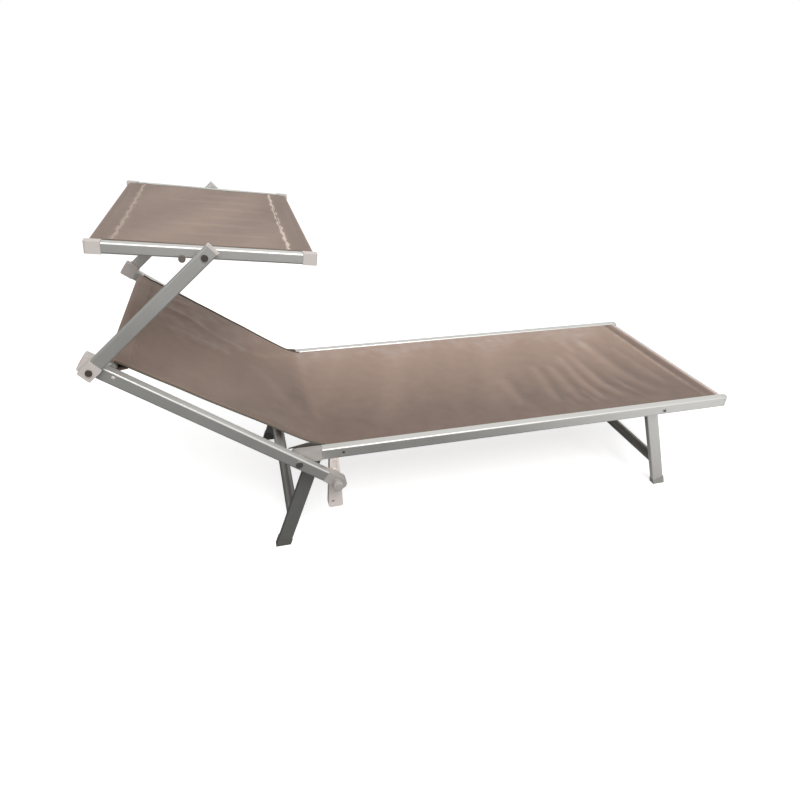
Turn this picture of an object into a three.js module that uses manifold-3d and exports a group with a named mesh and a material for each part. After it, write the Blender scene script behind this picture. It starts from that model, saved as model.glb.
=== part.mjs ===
// Sun lounger with a canopy: an aluminium frame that folds, a textile sling and a tilting sun shade.
// Millimetres. X runs from the head end (-) to the foot end (+), Y from the near side (-) to the far side (+),
// Z up from the floor. The origin is on the floor under the middle of the lounger's own box.

import * as THREE from 'three';
import { mergeVertices } from 'three/addons/utils/BufferGeometryUtils.js';
import Module from 'manifold-3d';

const wasm = await Module();
wasm.setup();

// Driving sizes of the whole lounger
const seatWidth = 600;          // over the outer faces of the seat rails
const seatHeight = 311.7;       // floor to the top of the seat rails
const seatRun = 1253;           // foot end to the backrest hinge
const backAngle = 37.1;         // backrest above the seat, as it stands
const legAngle = 19.7;          // splay of both legs
const armAngle = 41.1;          // canopy arms above the horizontal
const canopyTilt = 6.2;         // canopy's foot edge below its head edge
const canopyLength = 423.6;
const tubeWall = 1.8;           // of the round tubes
const seatFit = 0.3;            // gap between pieces that touch
const runningFit = 0.3;         // radial gap of a pin in its bore

// Seat rails: hollow profile with a round channel for the bead of the sling
const railWidth = 24.4;
const railHeight = 30.3;
const railWall = 1.8;
const railRound = 4.2;
const channelRadius = 3.1;
const channelMouth = 2.4;

// Cloth of the sling and of the canopy
const clothThickness = 1.2;
const beadRadius = 2.6;
const seatSag = 5;
const backSag = 9;
const canopySag = 6;
const rippleHeight = 1.4;
const rippleLength = 86;
const edgeGap = 3.6;            // bare strip between a sleeve's cloth and the rail beside it

// Foot end
const footBarRadius = 11;
const footCapLength = 14;
const footCapRound = 12;        // its outer corner, seen from above
const capPlugLength = 28;
const footSleeve = 58;          // from the foot bar's outer edge to the seam
const footSeamGap = 0.6;

// Cross tube under the seat
const braceRadius = 9;
const braceFromFoot = 720;
const braceDrop = 9;            // below the middle of the rails

// Hinge blocks at the head end of the seat rails
const blockLength = 59;         // visible part, from the shoulder to the hinge
const blockProud = 1;
const blockRound = 3;

// Legs
const legPivotDrop = 9.1;       // below the middle of the rails
const footLegFromFoot = 235.3;
const headLegFromHinge = 49;
const postWidth = 35;
const postThickness = 17;
const postWall = 2;
const postInset = 3.1;          // gap between a post and the rail beside it
const postRound = 2.6;
const crossbarHeight = 91;      // middle of the crossbars above the floor
const crossbarRadius = 15;
const footHeight = 24;          // along the post
const footProud = 0.9;
const footPlugLength = 22;
const legBoltRadius = 3;
const legBoltHeadRadius = 7;
const legBoltHeadHeight = 3.5;
const legBoltBite = 9;
const legCollarRadius = 11;     // collar of the post that bears on the rail
const stopRivetRadius = 3;
const stopRivetHeadRadius = 5.2;
const stopRivetHeadHeight = 1.8;
const stopRivetReach = 14;      // past the rail's inner face

// Position plates under the seat rails
const plateFromHinge = 88;      // hinge to the middle of the plate
const plateTopWidth = 22;
const plateFootWidth = 38;
const plateDrop = 151;          // below the rail
const plateThickness = 24;
const plateCorner = 6;
const plateSlotWidth = 10;
const plateSlotDepth = 3;
const plateSlotTop = 6;
const plateSlotLength = 26;
const plateHoleRadius = 4.5;
const plateHoleLift = 18;       // above the plate's lower end
const plateHoleShift = 8;       // towards the head
const tabThickness = 2;
const tabHeight = 22;
const pegRadius = 2.4;          // pegs on the tab that enter the rail
const pegSpacing = 8;
const pegBite = 5;

// Backrest, measured from the hinge along the rails
const backRailWidth = 24;
const backRailHeight = 28.9;
const backRailWall = 1.8;
const backRailRound = 4.2;
const hingeGap = 3.4;           // seat rail's outer face to the backrest rail's inner face
const backCapStart = 478;
const backCapEnd = 514;
const backCapProud = 0.5;
const backCapRise = 7;          // of the head cap above the rail
const backCapRound = 4;
const backPlugLength = 40;
const lowerBlockStart = 78;
const lowerBlockEnd = 138.5;
const headBarRadius = 11;
const headBarAlong = 458;
const headBarLift = 5;
const backBarRadius = 11;
const backBarAlong = 50;
const backSleeve = 40;
const hingeBoltRadius = 5;
const hingeBoltHeadRadius = 8.5;
const hingeBoltHeadHeight = 2.6;
const hingeWasherRadius = 13;
const kinkPastHinge = 51;       // where the sling leaves the seat rails
const kinkGap = 13;             // between the seat part and the back part of the sling
const slingGapAtKink = 4.6;     // seat rail's inner face to the sling's edge
const slingGapAtHead = 16.4;    // backrest rail's inner face to the sling's edge

// Locking plungers in the lower ends of the backrest rails
const plungerAlong = 111.6;     // radius of the index holes about the hinge
const plungerRadius = 3;
const plungerTravel = 8;
const plungerPositions = [32, backAngle, 44];
const indexHoleDepth = 12;
const guideRadius = 9.6;        // boss that guides the plunger inside the knob's skirt
const guideHeight = 4.4;
const knobRadius = 13;
const knobHeight = 13;
const knobSkirtGap = 0.8;
const knobRound = 3;

// Canopy arms
const armLength = 325;          // bolt to bolt
const armWidth = 27;
const armThickness = 13;
const armWall = 1.6;
const armRound = 3;
const armBoltAlong = 492;       // lower bolt, from the hinge
const armLowerEnd = 17;
const armFittingReach = 20;     // of the lower fitting, past the bolt
const armFittingProud = 1.2;
const armUpperEnd = 24;
const armCapThickness = 4.5;
const armCapProud = 0.8;
const armPlugLength = 8;
const armGap = 1.6;             // backrest's end cap to the arm
const armBoltRadius = 4;
const armBoltHeadRadius = 6.5;
const armBoltHeadHeight = 3.6;
const armWasherRadius = 10.5;
const armBoltBite = 14;

// Canopy frame, measured from the arms' upper bolts
const canopyHeadReach = 208.6;
const canopyGap = 9.5;          // arm's inner face to the canopy rail's outer face
const canopyRailWidth = 20;
const canopyRailHeight = 21.6;
const canopyRailWall = 1.6;
const canopyRailRound = 3.6;
const canopyRailLift = 1.6;
const cornerLength = 29;
const cornerProud = 0.8;
const cornerRound = 6;
const cornerPlugLength = 18;
const endBarRadius = 8.6;
const endBarInset = 12.5;       // from the corner's end to the bar's middle
const endPlugRadius = 6;
const headSleeve = 45;
const footCanopySleeve = 54;
const canopyBoltBite = 12;
const bufferRadius = 6.6;
const bufferAlong = 41;
const bufferDrop = 10.6;
const bufferLength = 8.6;
const spacerRadius = 9;

// Facets
const roundSides = 20;
const smallSides = 12;
const arcSteps = 3;
const cornerSteps = 6;
const sleeveSteps = 10;
const seatRows = 17;
const backRows = 10;
const canopyRows = 8;
const seatColumns = 8;
const backColumns = 12;
const tuckShare = 3;            // steps in which a bead starts and ends, in cloth thicknesses
const weldShare = 1e-7;
const overrun = 2;              // how far a cutting tool runs past the face it cuts

// Places that follow from the sizes above
const turn = Math.PI / 180;
const railMiddleY = (seatWidth - railWidth) / 2;
const railInnerY = seatWidth / 2 - railWidth;
const hingeHeight = seatHeight - railHeight / 2;
const backInnerY = seatWidth / 2 + hingeGap;
const backOuterY = backInnerY + backRailWidth;
const armInnerY = backOuterY + backCapProud + armGap;
const armOuterY = armInnerY + armThickness;
const canopyOuterY = armInnerY - canopyGap;
const canopyInnerY = canopyOuterY - canopyRailWidth;
const channelY = -railWidth / 2 + railWall + channelRadius;
const channelZ = railHeight / 2 - railWall - channelRadius + channelMouth / 4;
const sides = [['near', -1], ['far', 1]];

// Finishes
function finish(color, roughness, metalness) {
  return new THREE.MeshStandardMaterial({ color, roughness, metalness });
}
const silver = finish('#c9c8c6', 0.42, 0.75);
const legGrey = finish('#a2a29e', 0.5, 0.7);
const greyPlastic = finish('#c4bdb8', 0.6, 0);
const whitePlastic = finish('#dcd6d2', 0.55, 0);
const darkPlastic = finish('#37322e', 0.65, 0);
const steel = finish('#8d8a86', 0.35, 0.9);
const sling = finish('#a2958b', 0.9, 0);

// Outlines and solids
function roundedOutline(left, bottom, right, top, radius) {
  const shape = new THREE.Shape();
  shape.moveTo(left + radius, bottom);
  shape.lineTo(right - radius, bottom);
  shape.absarc(right - radius, bottom + radius, radius, -Math.PI / 2, 0);
  shape.absarc(right - radius, top - radius, radius, 0, Math.PI / 2);
  shape.absarc(left + radius, top - radius, radius, Math.PI / 2, Math.PI);
  shape.absarc(left + radius, bottom + radius, radius, Math.PI, 1.5 * Math.PI);
  return shape;
}

function centredOutline(width, height, radius) {
  return roundedOutline(-width / 2, -height / 2, width / 2, height / 2, radius);
}

function tubeOutline(width, height, radius, wall) {
  const shape = centredOutline(width, height, radius);
  const bore = radius > wall ? radius - wall : radius / 2;
  shape.holes.push(centredOutline(width - 2 * wall, height - 2 * wall, bore));
  return shape;
}

function extrude(shape, depth, curveSegments = arcSteps) {
  return new THREE.ExtrudeGeometry(shape, { depth, bevelEnabled: false, curveSegments });
}

// A section drawn in Y and Z and run along X
function alongX(shape, from, to) {
  const run = new THREE.Matrix4().set(0, 0, 1, from, 1, 0, 0, 0, 0, 1, 0, 0, 0, 0, 0, 1);
  return extrude(shape, to - from).applyMatrix4(run);
}

// An outline drawn in X and Z, with its thickness along Y
function acrossY(shape, from, to) {
  const run = new THREE.Matrix4().set(1, 0, 0, 0, 0, 0, -1, to, 0, 1, 0, 0, 0, 0, 0, 1);
  return extrude(shape, to - from).applyMatrix4(run);
}

function alongZ(shape, from, to, steps = arcSteps) {
  return extrude(shape, to - from, steps).translate(0, 0, from);
}

function rod(radius, from, to, x = 0, z = 0, facets = roundSides) {
  const bar = new THREE.CylinderGeometry(radius, radius, to - from, facets);
  return bar.translate(x, (from + to) / 2, z);
}

// A round tube across the lounger, open at both ends, that reaches nearly to the faces it stands between
function crossTube(radius, face, x = 0, z = 0) {
  const reach = face - seatFit;
  const bore = rod(radius - tubeWall, -reach - overrun, reach + overrun, x, z, smallSides);
  return cut(rod(radius, -reach, reach, x, z), bore);
}

function asManifold(geometry) {
  const plain = geometry.clone();
  plain.deleteAttribute('normal');
  plain.deleteAttribute('uv');
  const merged = mergeVertices(plain, seatRun * weldShare);
  return new wasm.Manifold(new wasm.Mesh({
    numProp: 3,
    vertProperties: new Float32Array(merged.attributes.position.array),
    triVerts: new Uint32Array(merged.index.array),
  }));
}

function asGeometry(manifold) {
  const { vertProperties, triVerts } = manifold.getMesh();
  const geometry = new THREE.BufferGeometry();
  geometry.setAttribute('position', new THREE.BufferAttribute(vertProperties, 3));
  geometry.setIndex(new THREE.BufferAttribute(triVerts, 1));
  geometry.computeVertexNormals();
  return geometry;
}

function join(...geometries) {
  return asGeometry(geometries.map(asManifold).reduce((whole, piece) => whole.add(piece)));
}

function cut(geometry, ...tools) {
  return asGeometry(tools.map(asManifold).reduce((whole, tool) => whole.subtract(tool), asManifold(geometry)));
}

function meet(one, other) {
  return asGeometry(asManifold(one).intersect(asManifold(other)));
}

// Pieces are drawn for the far side; the near side is their mirror image
function onSide(geometry, side) {
  if (side > 0) return geometry;
  const image = (geometry.index ? geometry.toNonIndexed() : geometry.clone()).scale(1, -1, 1);
  const corners = image.attributes.position;
  const a = new THREE.Vector3();
  const b = new THREE.Vector3();
  for (let i = 0; i < corners.count; i += 3) {
    a.fromBufferAttribute(corners, i + 1);
    b.fromBufferAttribute(corners, i + 2);
    corners.setXYZ(i + 1, b.x, b.y, b.z);
    corners.setXYZ(i + 2, a.x, a.y, a.z);
  }
  image.computeVertexNormals();
  return image;
}

function piece(name, geometry, material, parent) {
  const mesh = new THREE.Mesh(geometry, material);
  mesh.name = name;
  parent.add(mesh);
  return mesh;
}

function pair(name, geometry, material, parent) {
  for (const [where, side] of sides) piece(`${name}_${where}`, onSide(geometry, side), material, parent);
}

// A cloth of even thickness: at(row, column) is a point of its middle surface, and half(row, column)
// half its thickness there
function cloth(rows, columns, at, half) {
  const points = [];
  const faces = [];
  const width = columns + 1;
  const layer = (rows + 1) * width;
  const upper = [];
  const lower = [];
  for (let i = 0; i <= rows; i += 1) {
    for (let j = 0; j <= columns; j += 1) {
      const along = at(Math.min(i + 1, rows), j).sub(at(Math.max(i - 1, 0), j));
      const across = at(i, Math.min(j + 1, columns)).sub(at(i, Math.max(j - 1, 0)));
      const out = along.cross(across).normalize().multiplyScalar(half(i, j));
      upper.push(at(i, j).add(out));
      lower.push(at(i, j).sub(out));
    }
  }
  for (const point of [...upper, ...lower]) points.push(point.x, point.y, point.z);
  const quad = (a, b, c, d) => faces.push(a, b, c, a, c, d);
  const index = (i, j) => i * width + j;
  for (let i = 0; i < rows; i += 1) {
    for (let j = 0; j < columns; j += 1) {
      const [a, b, c, d] = [index(i, j), index(i + 1, j), index(i + 1, j + 1), index(i, j + 1)];
      quad(a, b, c, d);
      quad(a + layer, d + layer, c + layer, b + layer);
    }
  }
  for (let i = 0; i < rows; i += 1) {
    quad(index(i, 0), index(i, 0) + layer, index(i + 1, 0) + layer, index(i + 1, 0));
    const [a, b] = [index(i, columns), index(i + 1, columns)];
    quad(a, b, b + layer, a + layer);
  }
  for (let j = 0; j < columns; j += 1) {
    quad(index(0, j), index(0, j + 1), index(0, j + 1) + layer, index(0, j) + layer);
    const [a, b] = [index(rows, j), index(rows, j + 1)];
    quad(a, a + layer, b + layer, b);
  }
  const geometry = new THREE.BufferGeometry();
  geometry.setAttribute('position', new THREE.Float32BufferAttribute(points, 3));
  geometry.setIndex(faces);
  geometry.computeVertexNormals();
  return geometry;
}

// Seat frame
const lounger = new THREE.Group();
const seat = new THREE.Group();
seat.position.z = hingeHeight;
lounger.add(seat);

const kinkX = kinkPastHinge - seatRun;
const blockShoulder = blockLength - seatRun;
const railHead = blockShoulder + seatFit;
const railFoot = -footCapLength - seatFit;
const footLegX = -footLegFromFoot;
const headLegX = headLegFromHinge - seatRun;
const plateX = plateFromHinge - seatRun;
const chamberTop = channelZ - channelRadius - railWall;

// The rail's outline: the bead channel opens in its inner face, and the hollow lies under and beside it
function seatRailOutline() {
  const half = railWidth / 2;
  const tall = railHeight / 2;
  const mouth = Math.asin(channelMouth / 2 / channelRadius);
  const shape = new THREE.Shape();
  shape.moveTo(-half + railRound, -tall);
  shape.lineTo(half - railRound, -tall);
  shape.absarc(half - railRound, -tall + railRound, railRound, -Math.PI / 2, 0);
  shape.absarc(half - railRound, tall - railRound, railRound, 0, Math.PI / 2);
  shape.lineTo(-half + channelMouth, tall);
  shape.lineTo(-half, tall - channelMouth);
  shape.lineTo(-half, channelZ + channelMouth / 2);
  shape.absarc(channelY, channelZ, channelRadius, Math.PI - mouth, mouth - Math.PI, true);
  shape.lineTo(-half, channelZ - channelMouth / 2);
  shape.lineTo(-half, -tall + railRound);
  shape.absarc(-half + railRound, -tall + railRound, railRound, Math.PI, 1.5 * Math.PI);
  const hollow = new THREE.Path();
  const inner = channelY + channelRadius + railWall;
  hollow.moveTo(-half + railWall, -tall + railWall);
  hollow.lineTo(half - railWall, -tall + railWall);
  hollow.lineTo(half - railWall, tall - railWall - railRound / 2);
  hollow.lineTo(half - railWall - railRound / 2, tall - railWall);
  hollow.lineTo(inner, tall - railWall);
  hollow.lineTo(inner, chamberTop);
  hollow.lineTo(-half + railWall, chamberTop);
  shape.holes.push(hollow);
  return shape;
}

// The plug that a moulded end piece pushes into the rail's hollow
function railPlug(from, to) {
  const low = -railHeight / 2 + railWall + seatFit;
  const left = -railWidth / 2 + railWall + seatFit;
  const shape = roundedOutline(left, low, -left, chamberTop - seatFit, seatFit);
  return alongX(shape, from, to).translate(0, railMiddleY, 0);
}

const stopReach = postWidth / 2 + stopRivetRadius + seatFit;
function stopPlace(pivotX, towards) {
  const lean = legAngle * turn;
  return [pivotX + towards * stopReach * Math.cos(lean), -legPivotDrop + stopReach * Math.sin(lean)];
}
const footStop = stopPlace(footLegX, 1);
const headStop = stopPlace(headLegX, -1);

function boltHole(radius, x, z, from, to) {
  return rod(radius + runningFit, from, to, x, z, smallSides);
}

// A pin with a head at its outer end
function headedPin(radius, headRadius, headHeight, from, to, x, z) {
  const shank = rod(radius, from, to + headHeight / 2, x, z, smallSides);
  return join(shank, rod(headRadius, to, to + headHeight, x, z, roundSides));
}

const rail = alongX(seatRailOutline(), railHead, railFoot).translate(0, railMiddleY, 0);
const flatIndexX = plungerAlong - seatRun;
const pegHeights = [0, -pegSpacing];
const outerY = seatWidth / 2;
const footStopPin = headedPin(stopRivetRadius, stopRivetHeadRadius, stopRivetHeadHeight,
  railInnerY - stopRivetReach, outerY, ...footStop);
pair('seat_rail', cut(
  join(rail, footStopPin),
  boltHole(legBoltRadius, footLegX, -legPivotDrop, railInnerY - overrun, railMiddleY),
  boltHole(plungerRadius, flatIndexX, 0, railMiddleY, outerY + overrun),
  ...pegHeights.map((z) => boltHole(pegRadius, plateX, z, railInnerY - overrun, railInnerY + pegBite)),
), silver, seat);

// Foot end: moulded end caps with a round outer corner and a plug, and the bar that the sling's sleeve goes round
const footCap = centredOutline(railWidth, railHeight, railRound);
const footCapPlan = new THREE.Shape();
footCapPlan.moveTo(-footCapLength, railInnerY);
footCapPlan.lineTo(0, railInnerY);
footCapPlan.absarc(-footCapRound, outerY - footCapRound, footCapRound, 0, Math.PI / 2);
footCapPlan.lineTo(-footCapLength, outerY);
pair('foot_end_cap', join(
  meet(
    alongX(footCap, -footCapLength, 0).translate(0, railMiddleY, 0),
    alongZ(footCapPlan, -railHeight, railHeight, cornerSteps),
  ),
  railPlug(-footCapLength - capPlugLength, -footCapLength / 2),
), greyPlastic, seat);
const footBarX = -footBarRadius - clothThickness - seatFit;
const footBarZ = channelZ - clothThickness / 2 - seatFit - footBarRadius;
piece('foot_bar', crossTube(footBarRadius, railInnerY, footBarX, footBarZ), silver, seat);
piece('seat_cross_tube', crossTube(braceRadius, railInnerY, -braceFromFoot, -braceDrop), silver, seat);

// Hinge blocks: moulded ends of the seat rails, round about the backrest hinge
const blockHalf = railHeight / 2 + blockProud;
function roundEndOutline(from, centre, half, corner) {
  const way = Math.sign(centre - from);
  const shape = new THREE.Shape();
  shape.moveTo(from + way * corner, -half);
  if (way > 0) shape.absarc(centre, 0, half, -Math.PI / 2, Math.PI / 2);
  else shape.absarc(centre, 0, half, -Math.PI / 2, Math.PI / 2, true);
  shape.lineTo(from + way * corner, half);
  shape.lineTo(from, half - corner);
  shape.lineTo(from, corner - half);
  return shape;
}
pair('hinge_block', cut(
  join(
    acrossY(roundEndOutline(blockShoulder, -seatRun, blockHalf, blockRound / 2), railInnerY, outerY + blockProud),
    railPlug(blockShoulder - overrun, blockShoulder + capPlugLength / 2),
    rod(hingeWasherRadius, outerY, backInnerY - seatFit, -seatRun, 0),
    rod(stopRivetRadius, railInnerY - stopRivetReach, railMiddleY, ...headStop, smallSides),
  ),
  boltHole(hingeBoltRadius, -seatRun, 0, railMiddleY, backInnerY + overrun),
  boltHole(legBoltRadius, headLegX, -legPivotDrop, railInnerY - overrun, railMiddleY),
), greyPlastic, seat);
// Position plates: moulded plates that hang under the rails beside the hinge, with the index holes that the
// plungers enter, one for each backrest position, on an arc about the hinge
function plateOutline() {
  const top = -railHeight / 2 - seatFit;
  const foot = top - plateDrop;
  const shape = new THREE.Shape();
  shape.moveTo(-plateFootWidth / 2 + plateCorner, foot);
  shape.lineTo(plateFootWidth / 2 - plateCorner, foot);
  shape.absarc(plateFootWidth / 2 - plateCorner, foot + plateCorner, plateCorner, -Math.PI / 2, 0);
  shape.lineTo(plateTopWidth / 2, top);
  shape.lineTo(-plateTopWidth / 2, top);
  shape.absarc(-plateFootWidth / 2 + plateCorner, foot + plateCorner, plateCorner, Math.PI, 1.5 * Math.PI);
  return shape;
}
const plateTop = -railHeight / 2 - seatFit;
const slot = roundedOutline(-plateSlotWidth / 2, plateTop - plateSlotTop - plateSlotLength, plateSlotWidth / 2,
  plateTop - plateSlotTop, plateSlotDepth);
const tabOuter = railInnerY - seatFit;
const tab = roundedOutline(-plateTopWidth / 2, plateTop - plateSlotTop, plateTopWidth / 2,
  plateTop + tabHeight, tabThickness);
const indexHoles = plungerPositions.map((angle) => boltHole(plungerRadius,
  plungerAlong * Math.cos(angle * turn) - seatRun, -plungerAlong * Math.sin(angle * turn),
  outerY - indexHoleDepth, outerY + overrun));
const plateBody = join(
  acrossY(plateOutline(), outerY - plateThickness, outerY).translate(plateX, 0, 0),
  acrossY(tab, tabOuter - tabThickness, tabOuter).translate(plateX, 0, 0),
  acrossY(roundedOutline(-plateTopWidth / 2, plateTop - plateSlotTop, plateTopWidth / 2, plateTop,
    tabThickness / 2), tabOuter - tabThickness / 2, outerY - plateThickness / 2).translate(plateX, 0, 0),
  ...pegHeights.map((z) => rod(pegRadius, tabOuter - tabThickness / 2, railInnerY + pegBite - seatFit,
    plateX, z, smallSides)),
);
pair('position_plate', cut(
  plateBody,
  acrossY(slot, outerY - plateSlotDepth, outerY + overrun).translate(plateX, 0, 0),
  rod(plateHoleRadius, tabOuter - overrun, outerY + overrun, plateX - plateHoleShift,
    plateTop - plateDrop + plateHoleLift, smallSides),
  ...indexHoles,
), greyPlastic, seat);

// Legs: each hangs between the rails on two bolts, with a crossbar and two feet
function buildLeg(name, pivotX, lean) {
  const leg = new THREE.Group();
  leg.position.set(pivotX, 0, -legPivotDrop);
  leg.rotation.y = lean * turn;
  seat.add(leg);
  const outer = railInnerY - postInset;
  const inner = outer - postThickness;
  const half = postWidth / 2;
  const pivotHeight = hingeHeight - legPivotDrop;
  const floorAt = (x) => (x * Math.sin(lean * turn) - pivotHeight) / Math.cos(lean * turn);
  const postEnd = footHeight - pivotHeight / Math.cos(lean * turn);
  const section = centredOutline(postWidth, postThickness, postRound);
  const middle = (outer + inner) / 2;
  const bore = centredOutline(postWidth - 2 * postWall, postThickness - 2 * postWall, postRound / 2);
  pair(`${name}_post`, cut(
    join(alongZ(section, postEnd, 0).translate(0, middle, 0), rod(half, inner, outer),
      rod(legCollarRadius, middle, railInnerY - seatFit)),
    alongZ(bore, postEnd - overrun, -postWidth).translate(0, middle, 0),
    boltHole(legBoltRadius, 0, 0, inner - overrun, railInnerY + overrun),
  ), legGrey, leg);
  const wide = half + footProud;
  const foot = new THREE.Shape();
  foot.moveTo(-wide, floorAt(-wide));
  foot.lineTo(wide, floorAt(wide));
  foot.lineTo(wide, postEnd - seatFit);
  foot.lineTo(-wide, postEnd - seatFit);
  const plug = centredOutline(postWidth - 2 * (postWall + seatFit), postThickness - 2 * (postWall + seatFit),
    postRound / 2);
  pair(`${name}_foot`, join(
    acrossY(foot, inner - footProud, outer + footProud),
    alongZ(plug, postEnd - footHeight / 2, postEnd + footPlugLength).translate(0, middle, 0),
  ), darkPlastic, leg);
  const barZ = (crossbarHeight - pivotHeight) / Math.cos(lean * turn);
  piece(`${name}_crossbar`, crossTube(crossbarRadius, inner, 0, barZ), legGrey, leg);
  const bolt = headedPin(legBoltRadius, legBoltHeadRadius, legBoltHeadHeight, -railInnerY - legBoltBite,
    seatFit - inner, 0, 0);
  pair(`${name}_bolt`, onSide(bolt, -1), steel, leg);
}
buildLeg('foot_leg', footLegX, -legAngle);
buildLeg('head_leg', headLegX, legAngle);

// Backrest, with its origin on the hinge and its rails along -X
const back = new THREE.Group();
back.position.set(-seatRun, 0, 0);
back.rotation.y = backAngle * turn;
seat.add(back);
const backMiddleY = (backInnerY + backOuterY) / 2;
const backHalf = backRailHeight / 2 + backCapProud;
const blockOuterY = backOuterY + backCapProud;
function backPlug(from, to) {
  const inset = 2 * (backRailWall + seatFit);
  const shape = centredOutline(backRailWidth - inset, backRailHeight - inset, backRailRound / 2);
  return alongX(shape, from, to).translate(0, backMiddleY, 0);
}
pair('back_rail', cut(
  alongX(tubeOutline(backRailWidth, backRailHeight, backRailRound, backRailWall),
    seatFit - backCapStart, lowerBlockStart - seatFit).translate(0, backMiddleY, 0),
  boltHole(hingeBoltRadius, 0, 0, backInnerY - overrun, backOuterY + overrun),
), silver, back);
const headCapOutline = roundedOutline(-backCapEnd, -backHalf, -backCapStart, backHalf + backCapRise, backCapRound);
pair('back_head_cap', cut(
  join(
    acrossY(headCapOutline, backInnerY - backCapProud, blockOuterY),
    backPlug(-backCapStart - overrun, backPlugLength - backCapStart),
    rod(armWasherRadius, backMiddleY, armInnerY - seatFit, -armBoltAlong, 0),
  ),
  boltHole(armBoltRadius, -armBoltAlong, 0, blockOuterY - armBoltBite, armInnerY + overrun),
), whitePlastic, back);
pair('back_latch_block', cut(
  join(
    acrossY(roundEndOutline(lowerBlockStart, lowerBlockEnd - backHalf, backHalf, blockRound / 2),
      backInnerY, blockOuterY),
    backPlug(lowerBlockStart - backPlugLength / 2, lowerBlockStart + overrun),
    rod(guideRadius, backMiddleY, blockOuterY + guideHeight, plungerAlong, 0),
  ),
  boltHole(plungerRadius, plungerAlong, 0, backInnerY - overrun, blockOuterY + guideHeight + overrun),
), greyPlastic, back);
piece('head_bar', crossTube(headBarRadius, backInnerY, -headBarAlong, headBarLift), silver, back);
piece('back_cross_tube', crossTube(backBarRadius, backInnerY, -backBarAlong, 0), silver, back);
const hingeReach = railMiddleY + overrun;
pair('hinge_bolt', headedPin(hingeBoltRadius, hingeBoltHeadRadius, hingeBoltHeadHeight, hingeReach,
  backOuterY + seatFit, 0, 0), steel, back);

// Plungers, drawn back: the pin's nose is flush with the rail's inner face
const knobInner = blockOuterY + plungerTravel + seatFit;
const knobOuter = knobInner + knobHeight;
const skirtRadius = guideRadius + knobSkirtGap;
const skirtFloor = blockOuterY + guideHeight + plungerTravel + seatFit;
const plungerProfile = [
  [0, backInnerY + seatFit],
  [plungerRadius, backInnerY + seatFit],
  [plungerRadius, skirtFloor],
  [skirtRadius, skirtFloor],
  [skirtRadius, knobInner],
  [knobRadius - knobRound / 2, knobInner],
  [knobRadius, knobInner + knobRound / 2],
  [knobRadius, knobOuter - knobRound],
  [knobRadius - knobRound / 3, knobOuter - knobRound / 3],
  [knobRadius - knobRound, knobOuter],
  [0, knobOuter],
].map(([radius, y]) => new THREE.Vector2(radius, y));
pair('plunger', new THREE.LatheGeometry(plungerProfile, roundSides).translate(plungerAlong, 0, 0),
  darkPlastic, back);

// Canopy arms, with the origin on their lower bolts and the arms along +X
const arms = new THREE.Group();
arms.position.set(-armBoltAlong, 0, 0);
arms.rotation.y = -(armAngle + backAngle) * turn;
back.add(arms);
const armMiddleY = (armInnerY + armOuterY) / 2;
const fittingOuterY = armOuterY + armFittingProud;
const armTip = armLength + armUpperEnd - armCapThickness;
pair('canopy_arm', cut(
  alongX(tubeOutline(armThickness, armWidth, armRound, armWall), armFittingReach + seatFit, armTip - seatFit)
    .translate(0, armMiddleY, 0),
  boltHole(armBoltRadius, armLength, 0, armInnerY - overrun, armOuterY + overrun),
), silver, arms);
function armPlug(from, to) {
  const inset = 2 * (armWall + seatFit);
  const shape = centredOutline(armThickness - inset, armWidth - inset, armRound / 2);
  return alongX(shape, from, to).translate(0, armMiddleY, 0);
}
const fittingHalf = armWidth / 2 + armFittingProud;
pair('arm_lower_cap', cut(
  join(
    acrossY(roundedOutline(-armLowerEnd, -fittingHalf, armFittingReach, fittingHalf, armRound),
      armInnerY, fittingOuterY),
    armPlug(armFittingReach - overrun, armFittingReach + armPlugLength),
  ),
  boltHole(armBoltRadius, 0, 0, armInnerY - overrun, fittingOuterY + overrun),
), whitePlastic, arms);
const armCapFace = centredOutline(armThickness + armCapProud, armWidth + armCapProud, armRound);
pair('arm_upper_cap', join(
  alongX(armCapFace, armTip, armTip + armCapThickness).translate(0, armMiddleY, 0),
  armPlug(armTip - armPlugLength, armTip + armCapThickness / 2),
), whitePlastic, arms);
function armBolt(x, inwardEnd, face) {
  return headedPin(armBoltRadius, armBoltHeadRadius, armBoltHeadHeight, inwardEnd, face + seatFit, x, 0);
}
pair('arm_lower_bolt', armBolt(0, blockOuterY - armBoltBite + seatFit, fittingOuterY), darkPlastic, arms);
pair('arm_upper_bolt', armBolt(armLength, canopyOuterY - canopyBoltBite, armOuterY), darkPlastic, arms);

// Canopy, with its origin on the arms' upper bolts
const canopy = new THREE.Group();
canopy.position.set(armLength, 0, 0);
canopy.rotation.y = (armAngle + canopyTilt) * turn;
arms.add(canopy);
const canopyMiddleY = (canopyInnerY + canopyOuterY) / 2;
const canopyHead = -canopyHeadReach;
const canopyFoot = canopyLength - canopyHeadReach;
const railFrom = canopyHead + cornerLength + seatFit;
const railTo = canopyFoot - cornerLength - seatFit;
pair('canopy_rail', cut(
  join(
    alongX(tubeOutline(canopyRailWidth, canopyRailHeight, canopyRailRound, canopyRailWall), railFrom, railTo)
      .translate(0, canopyMiddleY, canopyRailLift),
    rod(spacerRadius, canopyOuterY - canopyRailWall / 2, armInnerY - seatFit),
  ),
  boltHole(armBoltRadius, 0, 0, canopyMiddleY, armInnerY + overrun),
), silver, canopy);

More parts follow.
